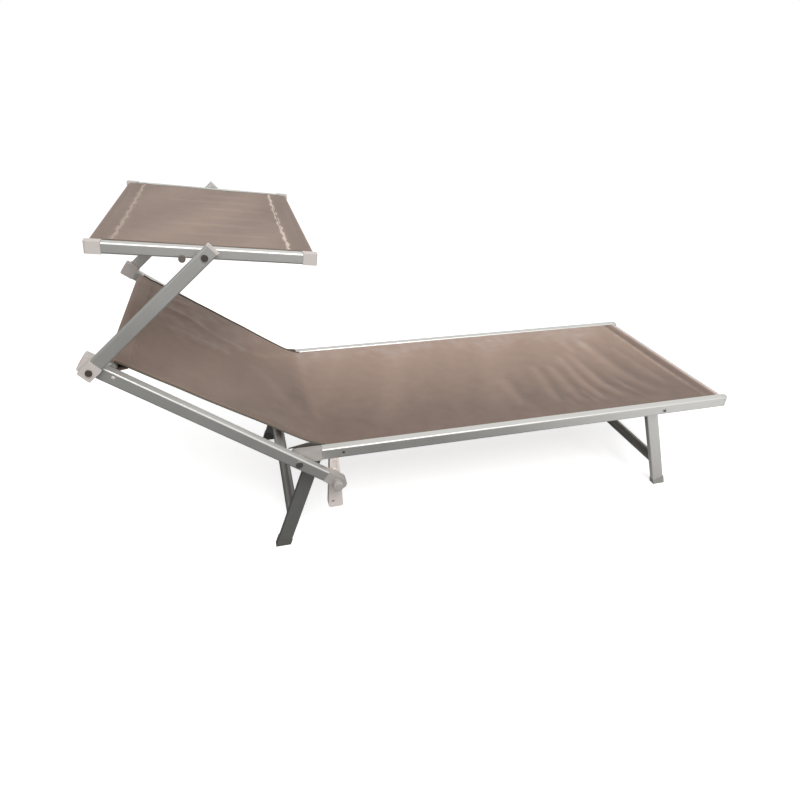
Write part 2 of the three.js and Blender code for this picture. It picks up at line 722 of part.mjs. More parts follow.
// Corners: moulded elbows with a plug for the rail and one for the end bar
function canopyCorner(end, way) {
  const [left, right] = way < 0 ? [end, end + cornerLength] : [end - cornerLength, end];
  const tall = canopyRailHeight / 2 + cornerProud;
  const barX = end - way * endBarInset;
  const inset = 2 * (canopyRailWall + seatFit);
  const plug = centredOutline(canopyRailWidth - inset, canopyRailHeight - inset, canopyRailRound / 2);
  const plugSpan = way < 0 ? [right - overrun, right + cornerPlugLength] : [left - cornerPlugLength, left + overrun];
  const plan = new THREE.Shape();
  const [near, far] = [canopyInnerY, canopyOuterY + cornerProud];
  const [outerX, innerX] = way < 0 ? [left, right] : [right, left];
  plan.moveTo(outerX, near);
  plan.lineTo(outerX, far - cornerRound);
  plan.quadraticCurveTo(outerX, far, outerX - way * cornerRound, far);
  plan.lineTo(innerX, far);
  plan.lineTo(innerX, near);
  return join(
    alongZ(plan, -tall, tall).translate(0, 0, canopyRailLift),
    alongX(plug, ...plugSpan).translate(0, canopyMiddleY, canopyRailLift),
    rod(endPlugRadius, canopyInnerY - cornerPlugLength, canopyInnerY + overrun, barX, canopyRailLift, smallSides),
  );
}
pair('canopy_head_corner', canopyCorner(canopyHead, -1), whitePlastic, canopy);
pair('canopy_foot_corner', canopyCorner(canopyFoot, 1), whitePlastic, canopy);
const headBarX = canopyHead + endBarInset;
const footEndBarX = canopyFoot - endBarInset;
for (const [name, x] of [['canopy_head_bar', headBarX], ['canopy_foot_bar', footEndBarX]]) {
  piece(name, crossTube(endBarRadius, canopyInnerY, x, canopyRailLift), silver, canopy);
}
pair('canopy_buffer', rod(bufferRadius, canopyOuterY + seatFit, canopyOuterY + seatFit + bufferLength,
  -bufferAlong, canopyRailLift - bufferDrop), darkPlastic, canopy);

// Cloth: a run over one or two bars, as points of its middle line with the width and the ripple at each
function wrapArc(x, z, radius, from, to, steps) {
  return Array.from({ length: steps + 1 }, (_, k) => {
    const angle = (from + (to - from) * k / steps) * turn;
    return [x + radius * Math.cos(angle), z + radius * Math.sin(angle)];
  });
}

// The sleeve round a bar: from the seam under the cloth, round the bar's far side, to the tangent on top.
// end is -1 for a bar at the head end of its cloth and 1 for one at the foot end
function sleevePath(bar, seam, from, end) {
  const radius = bar.radius + seatFit + clothThickness / 2;
  const tangent = (point, over) => {
    const [dx, dz] = [point.x - bar.x, point.z - bar.z];
    const spread = Math.acos(radius / Math.hypot(dx, dz));
    return Math.atan2(dz, dx) + end * over * -spread;
  };
  let top = tangent(from, 1);
  let under = tangent(seam, -1);
  if (end > 0 && under > 0) under -= 2 * Math.PI;
  if (end < 0 && under < top) under += 2 * Math.PI;
  const arc = wrapArc(bar.x, bar.z, radius, under / turn, top / turn, sleeveSteps);
  return [seam, ...arc.map(([x, z]) => ({ x, z }))];
}

// Rows between two points of a cloth, with its sag and its ripples growing from both ends
function spanPath(start, end, rows, sag) {
  const run = Math.hypot(end.x - start.x, end.z - start.z);
  return Array.from({ length: rows + 1 }, (_, k) => {
    const share = k / rows;
    const fullness = 1 - (2 * share - 1) ** 4;
    return {
      x: start.x + (end.x - start.x) * share,
      z: start.z + (end.z - start.z) * share,
      sag: sag * fullness,
      ripple: rippleHeight * fullness,
      run: run * share,
    };
  });
}

function slingCloth(path, stationsOf) {
  const table = path.map(stationsOf);
  const at = (i, j) => {
    const { x, z, sag = 0, ripple = 0, run = 0 } = path[i];
    const { y, share } = table[i][j];
    const hollow = Math.max(0, 1 - share * share);
    const wave = ripple * Math.sin(2 * Math.PI * (run / rippleLength + share));
    return new THREE.Vector3(x, y, z - (sag + wave) * hollow);
  };
  return cloth(path.length - 1, table[0].length - 1, at, (i, j) => table[i][j].half);
}

function evenStations(wide, count) {
  return Array.from({ length: count + 1 }, (_, k) => {
    const share = 2 * k / count - 1;
    return { y: share * wide, share, half: clothThickness / 2 };
  });
}

// Seat part of the sling: its edges run as beads in the rails' channels
const edgeY = railInnerY - edgeGap;
const beadY = railMiddleY + channelY;
const beadShares = [-0.95, -0.45, 0.45, 0.95];
function seatStations({ tucked = false, bead = false }) {
  const edge = beadShares.map((share, k) => {
    const loose = edgeY + (k + 1) * (edgeGap - 1.5 * seatFit) / beadShares.length;
    const round = beadRadius * Math.sqrt(1 - share * share);
    return {
      y: tucked ? beadY + share * beadRadius : loose,
      share: 1,
      half: bead ? Math.max(round, clothThickness / 2) : clothThickness / 2,
    };
  });
  const near = edge.map(({ y, half }) => ({ y: -y, share: -1, half })).reverse();
  return [...near, ...evenStations(edgeY, seatColumns), ...edge];
}
const footBar = { x: footBarX, z: footBarZ, radius: footBarRadius };
const seatSeam = { x: -footSleeve, z: channelZ - clothThickness - footSeamGap };
const tuck = clothThickness * tuckShare;
const beadFoot = footBarX - 3 * tuck;
const beadHead = blockShoulder + 3 * tuck;
const tucked = { tucked: true, bead: true };
const seatPath = [
  ...sleevePath(footBar, seatSeam, { x: kinkX, z: channelZ }, 1),
  { x: footBarX - tuck, z: channelZ },
  { x: footBarX - 2 * tuck, z: channelZ, tucked: true },
  { x: beadFoot, z: channelZ, ...tucked },
  ...spanPath({ x: -footSleeve - tuck, z: channelZ }, { x: beadHead, z: channelZ }, seatRows, seatSag)
    .map((row) => ({ ...row, ...tucked })),
  { x: blockShoulder + 2 * tuck, z: channelZ, tucked: true },
  { x: blockShoulder + tuck, z: channelZ },
  { x: kinkX, z: channelZ },
];
piece('seat_sling', slingCloth(seatPath, seatStations), sling, seat);

// Back part of the sling, from just past the kink to the sleeve round the head bar
const toBack = (x, z) => {
  const [c, s] = [Math.cos(backAngle * turn), Math.sin(backAngle * turn)];
  return { x: (x + seatRun) * c - z * s, z: (x + seatRun) * s + z * c };
};
const kink = toBack(kinkX, channelZ);
const headBar = { x: -headBarAlong, z: headBarLift, radius: headBarRadius };
const backTop = { x: -headBarAlong, z: headBarLift + headBarRadius + seatFit + clothThickness / 2 };
const backRun = Math.hypot(kink.x - backTop.x, kink.z - backTop.z);
const alongBack = (distance) => ({
  x: kink.x + (backTop.x - kink.x) * distance / backRun,
  z: kink.z + (backTop.z - kink.z) * distance / backRun,
});
const seamAt = alongBack(backRun - backSleeve + headBarRadius);
const backSeam = { x: seamAt.x, z: seamAt.z - clothThickness - footSeamGap };
const backPath = [
  ...spanPath(alongBack(kinkGap), alongBack(backRun - backSleeve), backRows, backSag),
  ...sleevePath(headBar, backSeam, kink, -1).reverse(),
];
const slingAtKink = railInnerY - slingGapAtKink;
const slingAtHead = backInnerY - slingGapAtHead;
piece('back_sling', slingCloth(backPath, (row) => {
  const share = Math.min(1, (kink.x - row.x) / headBarAlong);
  return evenStations(slingAtKink + (slingAtHead - slingAtKink) * share, backColumns);
}), sling, back);

// Canopy cloth, with a sleeve round the bar at each end
const canopyTop = canopyRailLift + endBarRadius + seatFit + clothThickness / 2;
const underTop = canopyTop - clothThickness - footSeamGap;
const canopyBars = [headBarX, footEndBarX].map((x) => ({ x, z: canopyRailLift, radius: endBarRadius }));
const [headSeamX, footSeamX] = [canopyHead + headSleeve, canopyFoot - footCanopySleeve];
const canopyPath = [
  ...sleevePath(canopyBars[1], { x: footSeamX, z: underTop }, { x: headSeamX, z: canopyTop }, 1),
  ...spanPath({ x: footSeamX - tuck, z: canopyTop }, { x: headSeamX + tuck, z: canopyTop }, canopyRows, canopySag),
  ...sleevePath(canopyBars[0], { x: headSeamX, z: underTop }, { x: footSeamX, z: canopyTop }, -1).reverse(),
];
piece('canopy_cloth', slingCloth(canopyPath, () => evenStations(canopyInnerY - edgeGap, backColumns)),
  sling, canopy);

// The origin goes under the middle of the whole lounger
lounger.updateMatrixWorld(true);
const whole = new THREE.Box3().setFromObject(lounger, true);
seat.position.x = -(whole.min.x + whole.max.x) / 2;

export default lounger;
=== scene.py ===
# %% [markdown]
# # A sun lounger with a canopy
# The lounger is a folding aluminium frame with one textile sling from the foot end to the head end, and a small
# sun shade on two arms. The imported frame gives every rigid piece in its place. What is left for this file is
# how the lounger looks: satin aluminium, moulded plastic, and a woven cloth with its seams, ripples and sleeves.

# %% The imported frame
import math

import bmesh
import bpy
import numpy as np
from mathutils import Matrix, Vector


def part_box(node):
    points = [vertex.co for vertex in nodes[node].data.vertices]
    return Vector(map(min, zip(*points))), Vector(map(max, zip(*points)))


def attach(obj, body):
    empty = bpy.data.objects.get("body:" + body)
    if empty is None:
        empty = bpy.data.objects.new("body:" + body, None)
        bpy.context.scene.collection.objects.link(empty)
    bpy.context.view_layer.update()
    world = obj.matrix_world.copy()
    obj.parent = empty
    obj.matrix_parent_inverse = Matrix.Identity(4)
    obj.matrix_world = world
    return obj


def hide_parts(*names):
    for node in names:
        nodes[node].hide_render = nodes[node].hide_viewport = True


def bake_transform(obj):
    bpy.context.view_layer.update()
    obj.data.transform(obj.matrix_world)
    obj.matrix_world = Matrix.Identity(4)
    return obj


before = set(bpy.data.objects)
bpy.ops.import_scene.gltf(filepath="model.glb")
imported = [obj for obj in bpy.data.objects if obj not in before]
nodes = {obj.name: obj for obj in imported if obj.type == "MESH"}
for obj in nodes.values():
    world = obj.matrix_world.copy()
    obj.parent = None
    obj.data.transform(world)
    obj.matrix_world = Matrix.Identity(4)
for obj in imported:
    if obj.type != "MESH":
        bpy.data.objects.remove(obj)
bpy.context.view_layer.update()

scene = bpy.context.scene

# %% [markdown]
# ## The camera
# The picture of this lounger was taken from above its near side, with a wide lens close to it, so that the head
# end is large and leans. Place, turn, pitch and roll of the camera, and its lens, were found by fitting the
# straight edges of the frame, and they are in real metres and degrees.

# %% Camera
CAMERA_PLACE = Vector((-0.50306, -1.47927, 1.1262))
CAMERA_TURN = math.radians(15.977)       # from straight across the lounger towards its foot end
CAMERA_PITCH = math.radians(29.661)      # down
CAMERA_ROLL = math.radians(1.6196)
CAMERA_LENS = 26.30                      # millimetres, for a sensor 36 mm wide


def camera_axes(turn, pitch, roll):
    """The camera's own right, up and back, as unit vectors."""
    ahead = Vector((math.sin(turn) * math.cos(pitch), math.cos(turn) * math.cos(pitch), -math.sin(pitch)))
    level = Vector((math.cos(turn), -math.sin(turn), 0))
    upright = level.cross(ahead)
    right = math.cos(roll) * level + math.sin(roll) * upright
    up = -math.sin(roll) * level + math.cos(roll) * upright
    return right, up, -ahead


lens = bpy.data.cameras.new("camera")
lens.sensor_width = 36
lens.lens = CAMERA_LENS
camera = bpy.data.objects.new("camera", lens)
right, up, backwards = camera_axes(CAMERA_TURN, CAMERA_PITCH, CAMERA_ROLL)
camera.matrix_world = Matrix.Translation(CAMERA_PLACE) @ Matrix((right, up, backwards)).transposed().to_4x4()
scene.collection.objects.link(camera)
scene.camera = camera
print(f"Camera {CAMERA_PLACE.length:.2f} m from the origin, lens {CAMERA_LENS} mm")

# %% [markdown]
# ## Floor and light
# A white studio. To the camera, world and floor look white, and the floor still shows the lounger's shadow. The
# sides of the frame mirror the floor and the room in front of them, and in the picture they go from dark at the
# head end to light at the foot end. A dark screen beside the head end would do that, but would darken the cloth
# too. So only what a mirror sees grows lighter towards the foot end. What the floor throws back on dull surfaces
# is a plain grey, which keeps the undersides dark. One large lamp hangs high on the near side.

# %% Node helpers
def new_tree(kind, name):
    """An empty material or world, and its nodes."""
    block = (bpy.data.materials if kind == "material" else bpy.data.worlds).new(name)
    block.use_nodes = True
    block.node_tree.nodes.clear()
    return block, block.node_tree


def add(tree, kind, **settings):
    node = tree.nodes.new(kind)
    for key, value in settings.items():
        setattr(node, key, value)
    return node


def choose(tree, factor, without, chosen):
    """One shader where the factor is 0 and the other where it is 1."""
    mix = add(tree, "ShaderNodeMixShader")
    for source, socket in zip((factor, without, chosen), mix.inputs):
        tree.links.new(source, socket)
    return mix.outputs[0]


def growing_along_x(tree, coordinates, start, low, stop, high):
    """A value that goes from low to high between two places along X."""
    place, growing = add(tree, "ShaderNodeSeparateXYZ"), add(tree, "ShaderNodeMapRange")
    tree.links.new(add(tree, "ShaderNodeTexCoord").outputs[coordinates], place.inputs[0])
    tree.links.new(place.outputs["X"], growing.inputs["Value"])
    for socket, value in (("From Min", start), ("To Min", low), ("From Max", stop), ("To Max", high)):
        growing.inputs[socket].default_value = value
    return growing.outputs[0]


def by_ray(tree, output, others, mirrored, seen):
    """One look for the camera, one for what mirrors it, and one for all other light."""
    path = add(tree, "ShaderNodeLightPath")
    unseen = choose(tree, path.outputs["Is Glossy Ray"], others.outputs[0], mirrored.outputs[0])
    shown = choose(tree, path.outputs["Is Camera Ray"], unseen, seen.outputs[0])
    tree.links.new(shown, add(tree, output).inputs[0])

# %% World
WORLD_LIGHT = 0.46
MIRRORED_FROM, MIRRORED_TO = (-0.9, 0.15), (0.1, 1.3)    # (direction's x, brightness in a mirror)

scene.view_settings.view_transform = "Standard"
world, tree = new_tree("world", "studio")
scene.world = world
seen, lighting, mirrored = (add(tree, "ShaderNodeBackground") for _ in range(3))
for background, strength in ((seen, 1.0), (lighting, WORLD_LIGHT)):
    background.inputs["Color"].default_value = (1, 1, 1, 1)
    background.inputs["Strength"].default_value = strength
tree.links.new(growing_along_x(tree, "Generated", *MIRRORED_FROM, *MIRRORED_TO), mirrored.inputs["Strength"])
by_ray(tree, "ShaderNodeOutputWorld", lighting, mirrored, seen)
print(f"World light {WORLD_LIGHT}")

# %% Floor
FLOOR_HALF = 9.0                                         # half a side of the floor, in metres
FLOOR_PAPER = 0.86                                       # the grey that takes the shadow
FLOOR_GLOW = 0.66                                        # what lifts that grey to white
FLOOR_BOUNCE = 0.45                                      # the grey that dull surfaces see
BOUNCE_FROM, BOUNCE_TO = (0.28, 0.10), (1.05, 1.0)       # (x, grey that a mirror sees)

floor_white, tree = new_tree("material", "floor_white")
paper, glow = add(tree, "ShaderNodeBsdfDiffuse"), add(tree, "ShaderNodeEmission")
both = add(tree, "ShaderNodeAddShader")
paper.inputs["Color"].default_value = (FLOOR_PAPER,) * 3 + (1,)
glow.inputs["Strength"].default_value = FLOOR_GLOW
tree.links.new(paper.outputs[0], both.inputs[0])
tree.links.new(glow.outputs[0], both.inputs[1])
bounce, mirrored = add(tree, "ShaderNodeBsdfDiffuse"), add(tree, "ShaderNodeBsdfDiffuse")
bounce.inputs["Color"].default_value = (FLOOR_BOUNCE,) * 3 + (1,)
tree.links.new(growing_along_x(tree, "Object", *BOUNCE_FROM, *BOUNCE_TO), mirrored.inputs["Color"])
by_ray(tree, "ShaderNodeOutputMaterial", bounce, mirrored, both)

mesh = bpy.data.meshes.new("floor")
corners = [(x * FLOOR_HALF, y * FLOOR_HALF, 0) for x, y in ((-1, -1), (1, -1), (1, 1), (-1, 1))]
mesh.from_pydata(corners, [], [(0, 1, 2, 3)])
mesh.materials.append(floor_white)
floor = bpy.data.objects.new("floor", mesh)
scene.collection.objects.link(floor)
print(f"Floor {2 * FLOOR_HALF:.0f} m square")

# %% Lamp
KEY_POWER = 145                          # watts
KEY_SIZE = 2.4
KEY_PLACE = Vector((0.2, -2.8, 3.8))
KEY_AIM = Vector((0.1, 0, 0.3))

lamp = bpy.data.lights.new("key", "AREA")
lamp.energy = KEY_POWER
lamp.size = KEY_SIZE
key = bpy.data.objects.new("key", lamp)
key.location = KEY_PLACE
key.rotation_euler = (KEY_PLACE - KEY_AIM).to_track_quat("Z", "Y").to_euler()
scene.collection.objects.link(key)
print(f"Key lamp {lamp.energy:.0f} W at {tuple(key.location)}")

# %% [markdown]
# ## Aluminium
# The tubes and rails are extruded and anodised. Extrusion leaves fine lines along each member, and anodising
# makes the surface satin. The lines must follow the member, and the members lean at many angles, so the long
# axis of each piece is measured from its mesh, and the pattern is stretched along it.

# %% Aluminium finish
def linear(red, green, blue):
    """A colour as seen on a screen, from 0 to 255, as the shader wants it."""
    parts = [c / 255 for c in (red, green, blue)]
    return tuple(p / 12.92 if p <= 0.04045 else ((p + 0.055) / 1.055) ** 2.4 for p in parts) + (1,)


def long_axis(node):
    """The direction in which a piece is longest."""
    points = np.array([v.co for v in nodes[node].data.vertices])
    return Vector(np.linalg.svd(points - points.mean(0), full_matrices=False)[2][0])


def principled(name, colour, roughness, metallic=0.0):
    """A material of one shader, with its nodes and that shader."""
    material, tree = new_tree("material", name)
    output = add(tree, "ShaderNodeOutputMaterial")
    shader = add(tree, "ShaderNodeBsdfPrincipled")
    shader.inputs["Base Color"].default_value = colour
    shader.inputs["Roughness"].default_value = roughness
    shader.inputs["Metallic"].default_value = metallic
    tree.links.new(shader.outputs[0], output.inputs[0])
    return material, tree, shader


def tint(tree, factor, shader, colour, spread, palest=None):
    """Base colour from a little darker to a little lighter than this colour, by the factor, and then palest."""
    ramp = add(tree, "ShaderNodeValToRGB")
    if palest:
        ramp.color_ramp.elements[1].position = 0.8
        ramp.color_ramp.elements.new(1.0).color = palest
    for stop, level in zip(ramp.color_ramp.elements, (1 - spread, 1 + spread)):
        stop.color = tuple(min(1, c * level) for c in colour[:3]) + (1,)
    tree.links.new(factor, ramp.inputs[0])
    tree.links.new(ramp.outputs[0], shader.inputs["Base Color"])


def relief(tree, height, shader, strength, distance):
    """Bump from a height, over a distance in metres."""
    bump = add(tree, "ShaderNodeBump")
    bump.inputs["Strength"].default_value = strength
    bump.inputs["Distance"].default_value = distance
    tree.links.new(height, bump.inputs["Height"])
    tree.links.new(bump.outputs[0], shader.inputs["Normal"])


def noise(tree, vector, scale, detail=2.0):
    node = add(tree, "ShaderNodeTexNoise")
    node.inputs["Scale"].default_value = scale
    node.inputs["Detail"].default_value = detail
    tree.links.new(vector, node.inputs["Vector"])
    return node.outputs[0]


def math_node(tree, operation, *values):
    node = add(tree, "ShaderNodeMath", operation=operation)
    for socket, value in zip(node.inputs, values):
        if isinstance(value, bpy.types.NodeSocket):
            tree.links.new(value, socket)
        else:
            socket.default_value = value
    return node.outputs[0]


SATIN, SATIN_SPREAD = 0.38, 0.16         # least roughness of the anodised surface, and how much it varies
METAL = 0.8
DIE_LINE = (0.4, 0.0016, 0.0016)         # size of a die line along and across a member, in metres


def extruded(name, axis, colour):
    """Satin aluminium with die lines along an axis."""
    material, tree, shader = principled(name, colour, SATIN + SATIN_SPREAD / 2, METAL)
    coordinates = add(tree, "ShaderNodeTexCoord")
    lines = add(tree, "ShaderNodeMapping", vector_type="TEXTURE")
    lines.inputs["Rotation"].default_value = axis.to_track_quat("X", "Z").to_euler()
    lines.inputs["Scale"].default_value = DIE_LINE
    tree.links.new(coordinates.outputs["Object"], lines.inputs["Vector"])
    grain = noise(tree, lines.outputs[0], 1.0, 3.0)
    cloudy = noise(tree, coordinates.outputs["Object"], 9.0, 3.0)
    tint(tree, grain, shader, colour, 0.07)
    relief(tree, grain, shader, 0.12, 0.0002)
    tree.links.new(math_node(tree, "MULTIPLY_ADD", cloudy, SATIN_SPREAD, SATIN), shader.inputs["Roughness"])
    return material


def dress(names, material):
    for name in names:
        materials = nodes[name].data.materials
        materials.clear()
        materials.append(material)


def pair(stem):
    return [f"{stem}_near", f"{stem}_far"]


FRAME_SILVER = linear(207, 206, 202)
SHADED_SILVER = linear(163, 163, 159)       # painted shade: the head leg and the crossbars stand in shade, so their silver is darker
members = {
    "seat_rail": FRAME_SILVER, "back_rail": FRAME_SILVER, "canopy_arm": FRAME_SILVER, "canopy_rail": FRAME_SILVER,
    "foot_leg_post": FRAME_SILVER, "head_leg_post": SHADED_SILVER,
}
for stem, colour in members.items():
    dress(pair(stem), extruded(f"aluminium_{stem}", long_axis(f"{stem}_near"), colour))
crossing = ["foot_bar", "seat_cross_tube", "head_bar", "back_cross_tube", "canopy_head_bar", "canopy_foot_bar"]
dress(crossing, extruded("aluminium_crossing", Vector((0, 1, 0)), FRAME_SILVER))
dress(["foot_leg_crossbar", "head_leg_crossbar"], extruded("aluminium_crossbar_shaded", Vector((0, 1, 0)), SHADED_SILVER))
print(f"{2 * len(members) + len(crossing) + 2} aluminium pieces")

# %% [markdown]
# ## Moulded plastic and bolts
# Caps and corners are moulded in a warm white. The position plates are the same white made paler, as painted light
# that lifts them out of the backrest rail's shadow. The hinge blocks and knobs are grey, and the covers of the
# canopy's bolts are in a dark tone. The head leg's feet are a darker copy of the foot leg's grey, as painted shade.
# Moulded plastic has a fine sand-like grain, and its tone clouds a little, so two noises make it, one for the bump
# and one for the colour. The bolts are zinc-plated steel.

# %% Plastic and steel finishes
CLOUDS, SAND, CRYSTALS = 35.0, 1400.0, 300.0             # how fine each noise is
MATT = 0.6


def moulded(name, colour, roughness=0.5):
    """Plastic with a fine grain and a slightly cloudy tone."""
    material, tree, shader = principled(name, colour, roughness)
    coordinates = add(tree, "ShaderNodeTexCoord").outputs["Object"]
    tint(tree, noise(tree, coordinates, CLOUDS, 3.0), shader, colour, 0.06)
    relief(tree, noise(tree, coordinates, SAND), shader, 0.18, 0.00012)
    return material


def plated(name, colour):
    """Zinc-plated steel, brighter and darker in small crystals."""
    material, tree, shader = principled(name, colour, 0.32, 0.9)
    coordinates = add(tree, "ShaderNodeTexCoord").outputs["Object"]
    tint(tree, noise(tree, coordinates, CRYSTALS, 3.0), shader, colour, 0.12)
    return material


white_plastic = moulded("plastic_white", linear(203, 195, 190))
# painted light: the position plates are the warm white made paler, against the backrest rail's shadow
lit_plate_plastic = moulded("plastic_plate_lit", linear(228, 218, 212))
grey_plastic = moulded("plastic_grey", linear(174, 169, 164))
light_grey_plastic = moulded("plastic_light_grey", linear(200, 199, 196))
foot_plastic = moulded("plastic_foot", linear(160, 158, 153), MATT)
# painted shade: the head leg's feet are a darker copy of the foot leg's grey, as they stand in shade
shaded_head_foot_plastic = moulded("plastic_head_foot_shaded", linear(98, 96, 92), MATT)
buffer_plastic = moulded("plastic_buffer", linear(104, 95, 87), MATT)
dark_plastic = moulded("plastic_dark", linear(70, 64, 58))
steel = plated("steel_plated", linear(150, 148, 145))

fittings = (
    (white_plastic, "back_head_cap arm_lower_cap arm_upper_cap canopy_head_corner canopy_foot_corner"),
    (grey_plastic, "hinge_block back_latch_block plunger"),
    (light_grey_plastic, "foot_end_cap"),
    (lit_plate_plastic, "position_plate"),
    (foot_plastic, "foot_leg_foot"),
    (shaded_head_foot_plastic, "head_leg_foot"),
    (dark_plastic, "arm_lower_bolt arm_upper_bolt"),
    (buffer_plastic, "canopy_buffer"),
    (steel, "foot_leg_bolt head_leg_bolt hinge_bolt"),
)
for material, stems in fittings:
    for stem in stems.split():
        dress(pair(stem), material)
print(f"{2 * sum(len(stems.split()) for _, stems in fittings)} fittings")

# %% [markdown]
# ## How the cloth is made
# The sling and the canopy are a coated mesh cloth, 1.2 mm thick. A cushion would be inflated by simulation, but
# a taut sheet is quicker and truer to build from its own rules: a path seen from the side, a width along it, a
# sag between what holds it, and the creases that the picture shows. A grid of points takes all four, and two
# layers with a rim make it a closed cloth. Its UV map is in metres, so that the weave follows the cloth.

# %% Paths and folds of a cloth
CLOTH = 0.0012                           # the cloth's thickness
FIT = 0.0003                             # between a bar and the cloth round it
WRAP_STEPS, SLEEVE_STEPS = 18, 8         # rows round a bar, and from there to the seam


def side(node):
    """The middle of a piece as seen from the side."""
    middle = (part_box(node)[0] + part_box(node)[1]) / 2
    return np.array((middle.x, middle.z))


def over_bar(node):
    """The radius of a bar with its cloth, to the middle of the cloth."""
    low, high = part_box(node)
    return (high.z - low.z) / 2 + FIT + CLOTH / 2


def wrap(bar, radius, seam, leaving, end):
    """Round a bar as seen from the side: from the seam under the cloth to the point where it leaves the top.
    end is 1 for a bar at the foot end of its cloth and -1 at the head end."""
    def touch(point, over):
        dx, dz = np.subtract(point, bar)
        return math.atan2(dz, dx) - end * over * math.acos(radius / math.hypot(dx, dz))
    top, under = touch(leaving, 1), touch(seam, -1)
    if end > 0 and under > 0:
        under -= 2 * math.pi
    if end < 0 and under < top:
        under += 2 * math.pi
    turns = np.linspace(under, top, WRAP_STEPS + 1)
    round_bar = bar + radius * np.stack((np.cos(turns), np.sin(turns)), 1)
    lower = np.linspace(seam, round_bar[0], SLEEVE_STEPS + 1)[:-1]
    return np.concatenate((lower, round_bar))


def travelled(points):
    """How far each point is along a path."""
    return np.concatenate(((0,), np.cumsum(np.linalg.norm(np.diff(points, axis=0), axis=1))))


def eased(value):
    """From 0 to 1 with a soft start and a soft end."""
    value = np.clip(value, 0, 1)
    return value * value * (3 - 2 * value)


def crease(u, v, line, height, width, fade=0.05):
    """A soft ridge along a line on the cloth, or a furrow below zero, that dies out towards its ends."""
    line = np.array(line, float)
    nearest, reached, run = np.full(u.shape, np.inf), np.zeros(u.shape), 0.0
    for start, stop in zip(line, line[1:]):
        step = stop - start
        length = math.hypot(*step)
        share = np.clip(((u - start[0]) * step[0] + (v - start[1]) * step[1]) / length ** 2, 0, 1)
        distance = np.hypot(u - start[0] - share * step[0], v - start[1] - share * step[1])
        closer = distance < nearest
        nearest = np.where(closer, distance, nearest)
        reached = np.where(closer, run + share * length, reached)
        run += length
    return height * np.exp(-(nearest / width) ** 2) * eased(np.minimum(reached, run - reached) / fade)

# %% A closed cloth over a grid of points
def cloth_piece(name, surface, thickness, uv, wear_and_light):
    """A closed cloth over a grid of middle points, with a thickness at each, and its wear and painted light from 0
    to 1.
    """
    along, across = np.gradient(surface, axis=0), np.gradient(surface, axis=1)
    up = np.cross(along, across)
    up /= np.linalg.norm(up, axis=2, keepdims=True)
    offset = up * thickness[..., None] / 2
    rows, columns = surface.shape[:2]
    index = np.arange(rows * columns).reshape(rows, columns)
    quads = np.stack((index[:-1, :-1], index[1:, :-1], index[1:, 1:], index[:-1, 1:]), -1).reshape(-1, 4)
    rim = np.concatenate((index[0], index[1:, -1], index[-1, -2::-1], index[-2:0:-1, 0]))
    onward = np.roll(rim, -1)
    count = rows * columns
    sides = np.stack((rim, onward, onward + count, rim + count), 1)
    faces = np.concatenate((quads, quads[:, ::-1] + count, sides))
    mesh = bpy.data.meshes.new(name)
    points = np.concatenate(((surface + offset).reshape(-1, 3), (surface - offset).reshape(-1, 3)))
    mesh.from_pydata(points.tolist(), [], faces.tolist())
    layer = mesh.uv_layers.new(name="weave")
    flat = np.concatenate((uv.reshape(-1, 2),) * 2)
    corners = np.empty(len(mesh.loops), dtype=np.int32)
    mesh.loops.foreach_get("vertex_index", corners)
    layer.uv.foreach_set("vector", flat[corners].ravel())
    wear_and_light_level = mesh.attributes.new("wear_and_light", "FLOAT", "POINT")
    wear_and_light_level.data.foreach_set("value", np.tile(np.clip(wear_and_light, 0, 1).ravel(), 2))
    mesh.shade_smooth()
    piece = bpy.data.objects.new(name, mesh)
    scene.collection.objects.link(piece)
    print(f"{name}: {len(faces)} faces")
    return piece

# %% [markdown]
# ## The sling
# One cloth runs from the foot bar to the head bar, and is sewn back on itself round each. Along the seat its
# edges carry a bead that slides into a channel in each rail. At the hinge it leaves the rails, turns up in a soft
# bend, and hangs free between the backrest's rails. Its side view is drawn first, from the bars that hold it, and
# then each row of it gets a width, a bead and a sag.

# %% The sling seen from the side
wrap_radius = over_bar("foot_bar")
foot_bar, head_bar = side("foot_bar"), side("head_bar")
level = foot_bar[1] + wrap_radius
kink = np.array((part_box("seat_sling")[0].x, level))
FOOT_SLEEVE = 0.0455                     # from the foot bar's middle to the seam
HEAD_SLEEVE = 0.029
UNDER = CLOTH + 0.0002                   # the sleeve's lower layer below the upper one
BEND_SEAT, BEND_BACK = 0.03, 0.06        # how far the bend reaches from the kink on each side
SEAT_STEPS, BEND_STEPS, BACK_STEPS = 180, 22, 76

foot_seam = np.array((foot_bar[0] - FOOT_SLEEVE, level - UNDER))
foot_wrap = wrap(foot_bar, wrap_radius, foot_seam, kink, 1)
top_of_head = wrap(head_bar, wrap_radius, kink + (0.1, -0.1), kink, -1)[-1]
back_run = np.linalg.norm(top_of_head - kink)
up_back = (top_of_head - kink) / back_run
lift = np.array((up_back[1], -up_back[0]))               # out of the backrest's upper side
head_seam = kink + up_back * (back_run - HEAD_SLEEVE) + lift * UNDER * math.copysign(1, -lift[1])
head_wrap = wrap(head_bar, wrap_radius, head_seam, kink, -1)

bend_start, bend_stop = kink + (BEND_SEAT, 0), kink + up_back * BEND_BACK
share = np.linspace(0, 1, BEND_STEPS)[:, None]
bend = (1 - share) ** 2 * bend_start + 2 * share * (1 - share) * kink + share ** 2 * bend_stop
seat_rows = np.linspace(foot_wrap[-1], bend_start, SEAT_STEPS)[1:-1]
back_rows = np.linspace(bend_stop, head_wrap[-1], BACK_STEPS)[1:-1]
sling_path = np.concatenate((foot_wrap, seat_rows, bend, back_rows, head_wrap[::-1]))
sling_run = travelled(sling_path)
print(f"The sling is {sling_run[-1]:.3f} m long, sleeves included, in {len(sling_path)} rows")

